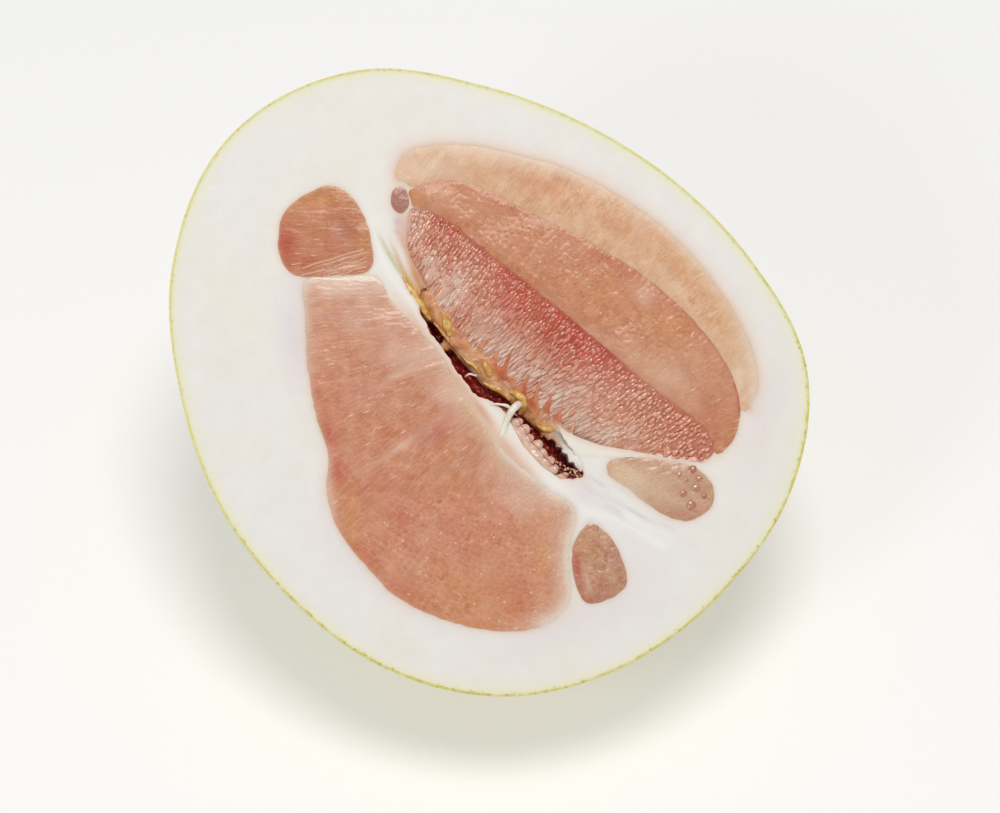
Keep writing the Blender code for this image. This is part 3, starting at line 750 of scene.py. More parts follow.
# the second colour of each thread is its painted light
amberMembrane = makeThreadMaterial("amberMembrane", "#BA7526", "#E6C172", 0.5, wet=0.35)
creamMembrane = makeThreadMaterial("creamMembrane", "#DDD0B8", "#EBE6D9", 0.5)
print("materials ready")

rind = {
    "around": 520, "rings": 150,
    "lump": 0.35, "dimple": 0.08,   # millimetres of unevenness, broad and fine
    "stemAngle": 121, "scarRadius": 4.2,
    "blossomWay": (0.67, -0.74, -0.05), "blossomRadius": 2.2,
}


def stemEndWay():
    stem = math.radians(rind["stemAngle"])
    return np.array([math.cos(stem), math.sin(stem), -0.055])


def buildRind():
    turn = np.linspace(0, 2 * math.pi, rind["around"], endpoint=False)
    lift = np.linspace(0, 1, rind["rings"]) ** 0.9 * (math.pi / 2)
    lift[0] = 0.002
    lift, turn = [side.ravel() for side in np.meshgrid(lift, turn, indexing="ij")]
    directions = np.stack([np.sin(lift) * np.cos(turn), np.sin(lift) * np.sin(turn), -np.cos(lift)], 1)
    points = onFruit(directions)
    outwards = points / np.linalg.norm(points, axis=1)[:, None]
    fromCut = -points[:, 2]
    calm = smoothStep(0, 6, fromCut)
    uneven = (softNoise(points, 17, 3) * 0.7 + softNoise(points, 8, 4) * 0.3) * rind["lump"] * calm
    uneven += softNoise(points, 2.6, 5) * rind["dimple"] * (0.4 + 0.6 * calm)
    stemPlace = onFruit(stemEndWay()[None])[0]
    far = np.linalg.norm(points - stemPlace, axis=1)
    scarRadius = rind["scarRadius"]
    uneven -= 0.8 * np.exp(-(far / (scarRadius * 1.5)) ** 2) * smoothStep(0.5, 5, fromCut)
    uneven += 0.45 * np.exp(-((far - scarRadius * 0.55) / 0.9) ** 2) * calm
    points = settle(points + outwards * uneven[:, None])
    points[:, 2] = np.minimum(points[:, 2], 0)
    scar = 0.5 * smoothStep(scarRadius * 1.2, scarRadius * 0.6, far)
    blossomPlace = onFruit(np.array([rind["blossomWay"]]))[0]
    blossom = np.exp(-(np.linalg.norm(points - blossomPlace, axis=1) / rind["blossomRadius"]) ** 2)
    scar = np.clip(scar + 0.8 * blossom, 0, 1)
    stemEnd = np.clip(smoothStep(75, 20, far) * 0.8, 0, 1)
    # the cut ring, drawn inwards from the rim
    rim = points[-rind["around"]:]
    inward = -rim[:, :2] / np.linalg.norm(rim[:, :2], axis=1)[:, None]
    ring = []
    cutRing = ((0.08, 0.03), (0.25, 0.02), (0.45, 0.0), (0.60, -0.15), (0.70, -2.5))   # distance in, height
    for distance, height in cutRing:
        step = rim.copy()
        step[:, :2] += inward * distance
        step[:, 2] = height + softNoise(step[:, :2], 3.0, 8) * 0.03 * (height > -1)
        ring.append(step)
    rings = rind["rings"] + len(ring)
    around = rind["around"]
    allPoints = np.concatenate([points, *ring])
    quads = []
    index = np.arange(around)
    ahead = (index + 1) % around
    for k in range(rings - 1):
        quads.append(np.stack([k * around + index, k * around + ahead, (k + 1) * around + ahead,
                               (k + 1) * around + index], 1))
    extra = len(ring) * around
    rimDistance = np.concatenate([np.zeros(len(points)), np.repeat([distance for distance, _ in cutRing], around)])
    cut = np.concatenate([smoothStep(0.25, 0.0, fromCut), np.ones(extra)])
    makePiece("rind", allPoints, np.concatenate(quads)[:, ::-1], waxyFlavedo, slot="rind", replaces=("skin",),
              stemEnd=np.concatenate([stemEnd, np.zeros(extra)]), scar=np.concatenate([scar, np.zeros(extra)]),
              rimDistance=rimDistance, cut=cut, above=paintedLightFromAbove(allPoints))


buildRind()

stemScar = {
    "radius": 3.5, "rings": 22, "around": 72, "ribs": 11,
    # its height above the fruit's surface, in millimetres, from the middle out
    "profile": ((0, -0.65), (0.2, -0.55), (0.32, -0.2), (0.5, -0.25), (0.68, 0.02), (0.82, 0.05), (0.94, -0.35),
                (1.0, -1.2)),
    "cork": "#AC9F76", "darkCork": "#6E6140", "lip": "#B4AC6E",
}


def makeScarMaterial(look):
    # Cork, where the stem broke off: dry, rough and brown, so it has no shine.
    material, tree, shader = startMaterial("corkStemScar")
    place = addNode(tree, "TexCoord").outputs["Object"]
    cloud = addNode(tree, "TexNoise", {"Vector": place, "Scale": 900.0, "Detail": 4.0, "Roughness": 0.65})
    tone = addNode(tree, "MapRange", {"Value": cloud.outputs["Fac"], "From Min": 0.36, "From Max": 0.64})
    colour = mixColour(tree, tone, look["darkCork"], look["cork"])
    colour = mixColour(tree, mark(tree, "lip"), colour, look["lip"])
    # painted shade: the sunk middle and the grooves between the ribs are painted dark cork
    colour = mixColour(tree, mark(tree, "sunk"), colour, look["darkCork"])
    bump = addNode(tree, "Bump", {"Height": cloud.outputs["Fac"], "Distance": 0.0004, "Strength": 0.9})
    setInputs(tree, shader, {"Base Color": colour, "Normal": bump, "Roughness": 0.85})
    return material


corkStemScar = makeScarMaterial(stemScar)


def buildStemScar():
    rings, around = stemScar["rings"], stemScar["around"]
    out = np.repeat(np.linspace(0.02, 1, rings), around)
    turn = np.tile(np.linspace(0, 2 * math.pi, around, endpoint=False), rings)
    way = stemEndWay()
    aside = np.array([-way[1], way[0], 0])
    size = np.linalg.norm(onFruit(way[None])[0])
    reach = out * stemScar["radius"] * (1 + 0.06 * np.sin(3 * turn + 1) + 0.04 * np.sin(5 * turn)) / size
    ways = way + aside * (reach * np.cos(turn))[:, None] + np.array([0, 0, 1]) * (reach * np.sin(turn))[:, None]
    points = onFruit(ways / np.linalg.norm(ways, axis=1)[:, None])
    height = np.interp(out, *np.array(stemScar["profile"]).T)
    ribs = 0.5 + 0.5 * np.cos(stemScar["ribs"] * turn + 2 * np.sin(turn))
    height += (0.16 * ribs * smoothStep(0.3, 0.6, out) * smoothStep(1.0, 0.85, out)
               + 0.12 * softNoise(points, 0.8, 45))
    points += points / np.linalg.norm(points, axis=1)[:, None] * height[:, None]
    index = np.arange(around)
    ahead = (index + 1) % around
    faces = [np.stack([k * around + index, (k + 1) * around + index, (k + 1) * around + ahead,
                       k * around + ahead], 1) for k in range(rings - 1)]
    faces = np.concatenate(faces)
    middle = len(points)
    points = np.concatenate([points, points[:around].mean(0)[None]])
    cap = np.stack([np.full(around, middle), index, ahead], 1)
    faces = np.concatenate([faces[:, [0, 1, 2]], faces[:, [0, 2, 3]], cap])
    lip = np.append(smoothStep(0.6, 0.85, out) * 0.8, 0)
    # painted shade in the sunk middle and between the ribs
    sunk = np.append(smoothStep(0.32, 0.12, out) * 0.8 + 0.4 * (1 - ribs) * smoothStep(0.3, 0.5, out), 0.8)
    makePiece("stemScar", points, faces, corkStemScar, slot="rind", lip=lip, sunk=sunk)


buildStemScar()

outlines = {
    "leftTip": [(-41.2, 50.8), (-35.9, 49.3), (-31.8, 43.8), (-29.8, 36.5), (-30.6, 29.5), (-40.0, 28.4),
                (-48.2, 28.6), (-52.0, 32.4), (-52.8, 38.0), (-50.4, 45.4)],
    "left": [(-46.4, 27.0), (-38.0, 27.3), (-29.2, 27.1), (-25.4, 21.0), (-18.4, 13.0), (-12.6, 5.4), (-7.4, -5.6),
             (0.8, -17.6), (12.0, -28.2), (18.6, -33.4), (16.4, -44.0), (15.6, -56.6), (7.6, -62.4), (-3.0, -62.6),
             (-15.0, -59.4), (-26.4, -53.4), (-34.6, -44.4), (-40.6, -35.6), (-43.0, -26.4), (-42.2, -17.0),
             (-45.0, -6.6), (-46.6, 6.0), (-46.6, 17.4)],
    "bottom": [(22.4, -37.4), (27.2, -41.0), (29.8, -47.0), (30.4, -52.8), (26.0, -56.0), (20.6, -56.6),
               (18.0, -50.6), (18.2, -42.6)],
    "rightOuter": [(-22.4, 52.6), (-20.0, 58.4), (-12.0, 60.4), (-3.0, 59.8), (8.0, 57.0), (19.6, 53.2),
                   (31.0, 47.0), (42.4, 38.6), (52.4, 28.0), (60.4, 16.0), (65.0, 5.0), (65.8, -4.4),
                   (62.4, -8.8), (61.6, -3.0), (57.0, 6.4), (49.4, 16.4), (40.0, 25.4), (30.0, 32.6),
                   (19.6, 38.8), (9.0, 44.4), (0.0, 49.4), (-7.4, 51.8), (-15.4, 51.6)],
    "rightMiddle": [(-19.4, 48.6), (-14.6, 50.6), (-7.4, 50.8), (-0.4, 48.4), (8.6, 43.2), (19.0, 37.6),
                    (29.4, 31.4), (39.4, 24.2), (48.6, 15.4), (56.2, 5.4), (60.8, -4.6), (60.8, -13.6),
                    (57.6, -19.2), (54.8, -18.4), (52.6, -13.0), (46.0, -7.2), (37.8, -0.4), (29.6, 7.4),
                    (21.4, 15.0), (12.8, 22.6), (4.4, 30.0), (-3.6, 37.0), (-10.6, 42.8), (-16.0, 45.2)],
    "rightInner": [(-19.0, 44.4), (-11.4, 41.6), (-4.2, 35.6), (3.8, 28.6), (12.2, 21.2), (20.8, 13.6),
                   (29.0, 6.0), (37.2, -1.8), (45.4, -8.6), (52.0, -14.2), (54.2, -19.4), (51.6, -22.4),
                   (44.6, -21.6), (36.0, -19.6), (26.6, -17.4), (19.0, -14.4), (12.0, -8.6), (5.0, -2.8),
                   (-0.6, 3.6), (-6.8, 10.6), (-12.6, 18.2), (-17.2, 26.8), (-20.6, 36.0)],
    "rightTip": [(28.6, -21.6), (35.0, -21.2), (42.6, -22.4), (49.4, -24.6), (53.4, -29.0), (52.4, -34.4),
                 (46.4, -37.2), (39.6, -34.4), (32.6, -28.8), (27.8, -24.8)],
    "small": [(-20.4, 48.8), (-19.9, 45.6), (-21.8, 43.6), (-23.7, 45.4), (-23.6, 48.8), (-22.0, 50.0)],
}
creviceOutline = [(-18.6, 20.6), (-16.2, 13.8), (-12.2, 7.4), (-8.8, 1.8), (-5.2, -3.2), (0.4, -6.2), (4.8, -9.2),
                  (8.9, -15.6), (12.9, -20.8), (16.4, -24.2), (19.2, -25.6), (21.2, -24.4), (19.4, -20.0),
                  (17.0, -15.4), (10.6, -5.4), (2.8, 1.8), (-4.6, 10.0), (-11.4, 18.6), (-15.8, 24.4)]
# Grown a little, because the membranes between segments are thinner than the part's own gaps.
curves = {name: anticlockwise(curveThrough(points, 0.55)) for name, points in outlines.items()}
curves = {name: grown(curve, (0.3 + 0.13 * softNoise(curve, 1.6, 15))[:, None]) for name, curve in curves.items()}
# On the right they lie against each other, so each one's edge runs on under its neighbour's.
for name, over in (("rightOuter", "rightMiddle"), ("rightMiddle", "rightInner")):
    beside = smoothStep(2.8, 1.4, offLine(curves[name], curves[over], True))
    curves[name] = grown(curves[name], (beside * 1.5)[:, None])
coarse = {name: curve[::3] for name, curve in curves.items()}
crevice = anticlockwise(curveThrough(creviceOutline, 0.5))
tear = 0.28 * softNoise(crevice, 1.4, 11) + 0.16 * softNoise(crevice, 0.7, 12)
crevice = grown(crevice, tear[:, None])
# Between the crevice and the inner segment the pith is gone: dried membranes lie there.
pocket = anticlockwise(np.array([onFace(*p) for p in (
    (269, 408), (276, 428), (290, 450), (302, 468), (314, 484), (333, 494), (342, 510), (353, 533), (368, 551),
    (384, 563), (396, 562), (401, 557), (396, 547), (390, 536), (386, 524), (381, 512), (367, 500), (351, 485),
    (331, 463), (311, 439), (293, 415), (281, 397), (274, 394))]))

# The core: a white strand between the left and the right segments, widening to the blossom end.
coreLine = np.array([onFace(*p) for p in ((228, 335), (236, 358), (246, 382), (262, 405), (275, 425), (288, 448),
                                          (300, 465), (310, 480), (322, 498), (335, 520), (350, 542), (372, 566),
                                          (400, 590), (435, 602), (470, 622))])

pith = {
    "around": 620, "spacing": 0.75, "rimInset": 0.40, "coreHeight": 0.6,
    # how strongly and how far, in millimetres, each segment's juice has seeped into the white
    "seeps": {"leftTip": (0.55, 0.5), "left": (0.60, 0.8), "bottom": (0.55, 0.5), "rightOuter": (0.80, 1.3),
              "rightMiddle": (0.6, 0.8), "rightInner": (0.6, 0.8), "rightTip": (0.55, 0.6), "small": (0.5, 0.8)},
    # where it has spread further: column and row in the photograph, the two radii in its pixels, turn, strength
    "stains": [(378, 672, 22, 12, 15, 0.35), (300, 478, 56, 10, -57, 1.0), (262, 418, 34, 7, -60, 0.7),
               (316, 496, 20, 8, -55, 0.9), (334, 522, 22, 8, -52, 1.0), (352, 547, 22, 8, -50, 0.9),
               (382, 620, 6, 40, 0, 0.35), (182, 560, 8, 40, 0, 0.4)],
    "gum": [(303, 476, 22, 3.5, -57, 0.5), (320, 503, 16, 3.5, -56, 0.6), (340, 533, 12, 3, -52, 0.35),
            (396, 548, 16, 3.5, -62, 0.5), (262, 362, 24, 3.5, -68, 0.8), (268, 384, 14, 4, -62, 0.9),
            (273, 398, 10, 4, -60, 0.8), (258, 336, 14, 4, -75, 0.35)],
    "sunkLip": [(366, 534, 34, 14, -50, 1.2)],
    # folded skin: its crest in the photograph's pixels, half width and height in millimetres
    "folds": [([(386, 532), (396, 538), (408, 541), (420, 542), (433, 544), (447, 548)], 0.8, 0.40),
              ([(372, 512), (382, 524), (392, 534)], 0.6, 0.25)],
    "olive": [(247, 366, 18, 1.7, -62, 0.8), (240, 350, 10, 1.4, -66, 0.25)],
    "lilac": [(160, 432, 14, 40, 5, 0.9), (378, 690, 60, 16, 20, 0.5), (170, 380, 10, 22, 0, 0.6),
              (560, 520, 14, 50, -20, 0.5), (430, 640, 30, 40, 0, 0.4), (262, 300, 14, 24, 0, 0.5),
              (256, 335, 5, 22, -12, 0.8), (230, 640, 60, 16, -38, 0.5), (430, 600, 30, 12, -40, 0.6),
              (405, 575, 16, 12, 0, 0.8)],
    "core": [(430, 602, 46, 16, -22, 0.9), (365, 590, 18, 14, 0, 0.8)],
    "strands": [(440, 597, 48, 17, -32, 1.0), (410, 575, 20, 14, -30, 1.0), (470, 622, 20, 12, -30, 0.6)],
    # painted shade beside the raised core, with grey streaks along the strands
    "paintedShadeAndGreyMarks": [(445, 592, 40, 14, -30, 0.6), (262, 392, 5, 26, -60, 0.5), (232, 350, 4, 30, -72, 0.35),
             (415, 570, 14, 8, -20, 0.5), (253, 333, 3.0, 10, -12, 0.9)],
    "amber": [(262, 388, 3.0, 16, 28, 0.9), (277, 408, 4, 14, 30, 1.0), (252, 366, 2.2, 16, 20, 0.6)],
}


def buildPith():
    turn = np.linspace(0, 2 * math.pi, pith["around"], endpoint=False)
    radius = faceRadius(turn) - pith["rimInset"]
    outer = np.stack([np.cos(turn), np.sin(turn)], 1) * radius[:, None]
    holes = [grown(curve, -0.15) for curve in curves.values()] + [crevice, pocket]
    flat, faces = sheetOver(outer, holes, pith["spacing"], 21)
    fromRim = faceRadius(np.arctan2(flat[:, 1], flat[:, 0])) - np.linalg.norm(flat, axis=1)
    off = {name: np.maximum(-inwards(flat, outline), 0) for name, outline in coarse.items()}
    nearest = np.sort(np.stack(list(off.values())), 0)
    fromCrevice = np.maximum(-inwards(flat, crevice), 0)
    fromCore = offLine(flat, curveThrough(coreLine, 1.0, closed=False))
    # strands of the core, pulled apart towards the blossom end
    strandLine = np.column_stack([flat @ (0.84, -0.54) / 7, flat @ (0.54, 0.84) / 1.0])
    strand = softNoise(strandLine, 1.0, 35)
    strandShare = spots(flat, pith["strands"])
    height = ground(flat)
    along = smoothStep(58, -30, flat[:, 1])
    height += pith["coreHeight"] * np.exp(-(fromCore / (1.2 + 1.6 * along)) ** 2) * smoothStep(0, 1.5, nearest[0])
    height += 0.38 * strandShare * np.abs(strand)
    crest = np.zeros(len(flat))
    for places, width, rise in pith["folds"]:
        far = offLine(flat, curveThrough([onFace(*place) for place in places], 0.5, closed=False))
        height += rise * np.exp(-(far / width) ** 2)
        crest = np.maximum(crest, np.exp(-(far / width) ** 2) * (0.6 + 0.4 * softNoise(flat, 2.5, 36)))
    leftSide = flat[:, 0] + flat[:, 1] * 0.85 < 0.5
    # beside the pale vesicles its edge sinks and turns pink, elsewhere on the left it is a raised lip
    sunk = spots(flat, pith["sunkLip"])
    height += 0.35 * np.exp(-fromCrevice / 0.7) * leftSide * (1 - sunk) - 1.1 * np.exp(-fromCrevice / 1.0) * sunk
    height -= 0.4 * np.exp(-fromCrevice / 0.18)
    height *= smoothStep(0, 3, fromRim) * 0.9 + 0.1
    height += 0.02 * smoothStep(1.0, 0.3, fromRim)
    points = np.column_stack([flat, height])
    points, faces, source = addSkirt(points, faces, [(-0.8, 0), (-1.8, 0)])
    seep = np.max([amount * np.exp(-off[name] / reach) for name, (amount, reach) in pith["seeps"].items()], 0)
    seep *= 1 - np.exp(-(fromCore / 1.8) ** 2) * 0.4
    seep = np.maximum(seep, spots(flat, pith["stains"]) * np.exp(-off["left"] / 3.0))
    lip = np.exp(-(fromCrevice / (0.75 + 1.4 * sunk)) ** 2) * leftSide * 0.9
    core = np.maximum(np.exp(-(fromCore / 3.0) ** 2) * 0.9, spots(flat, pith["core"]))
    # painted shade beside the raised core and grey streaks along the strands
    shade = spots(flat, pith["paintedShadeAndGreyMarks"]) * smoothStep(-0.2, 0.7, strand)
    patches = {name: spots(flat, pith[name]) for name in ("lilac", "gum", "amber", "olive")}
    makePiece("pith", points, faces, spongyAlbedo, slot="pith", replaces=("pith",), source=source,
              rimDistance=fromRim, seep=seep, core=core, shade=shade, lip=lip, crest=crest,
              above=paintedLightFromAbove(flat), **patches)


buildPith()

ridge = {"start": (-18.1, 45.8), "end": (52.3, -17.5), "width": 25, "drop": 8.5, "power": 1.5, "reach": 1.2,
         "rise": 0.8, "evenness": 0.7}


def innerSlope(flat):
    # The inner segment is highest along its ridge and falls away to the crevice.
    start = np.array(ridge["start"])
    line = np.array(ridge["end"]) - start
    along = (flat - start) @ line / (line @ line)
    off = (flat - start) @ (np.array([line[1], -line[0]]) / np.linalg.norm(line)) / ridge["width"]
    middle = np.maximum(0, np.sin(math.pi * np.clip(along, 0, 1))) ** ridge["evenness"]
    return middle * (ridge["rise"] - ridge["drop"] * np.clip(off, 0, ridge["reach"]) ** ridge["power"])


def vesicleCells(along, across, length, width, seed):
    # Vesicles lie side by side along the fibres. For each place: how far it is inside its vesicle's
    # border, and that vesicle's own number from -1 to 1.
    row = np.floor(across / width)
    first = np.full(len(along), 9.0)
    second = first.copy()
    tone = np.zeros(len(along))
    for upward in (-1, 0, 1):
        here = row + upward
        u = along / length + chance(seed, here) * 7.3
        cell = np.floor(u)
        for forward in (-1, 0, 1):
            there = cell + forward
            seedU = there + 0.5 + 0.7 * (chance(seed + 1, there, here) - 0.5)
            seedV = here + 0.5 + 0.55 * (chance(seed + 2, there, here) - 0.5)
            far = np.hypot(u - seedU, across / width - seedV)
            closer = far < first
            second = np.where(closer, first, np.minimum(second, far))
            tone = np.where(closer, chance(seed + 3, there, here) * 2 - 1, tone)
            first = np.where(closer, far, first)
    return second - first, tone


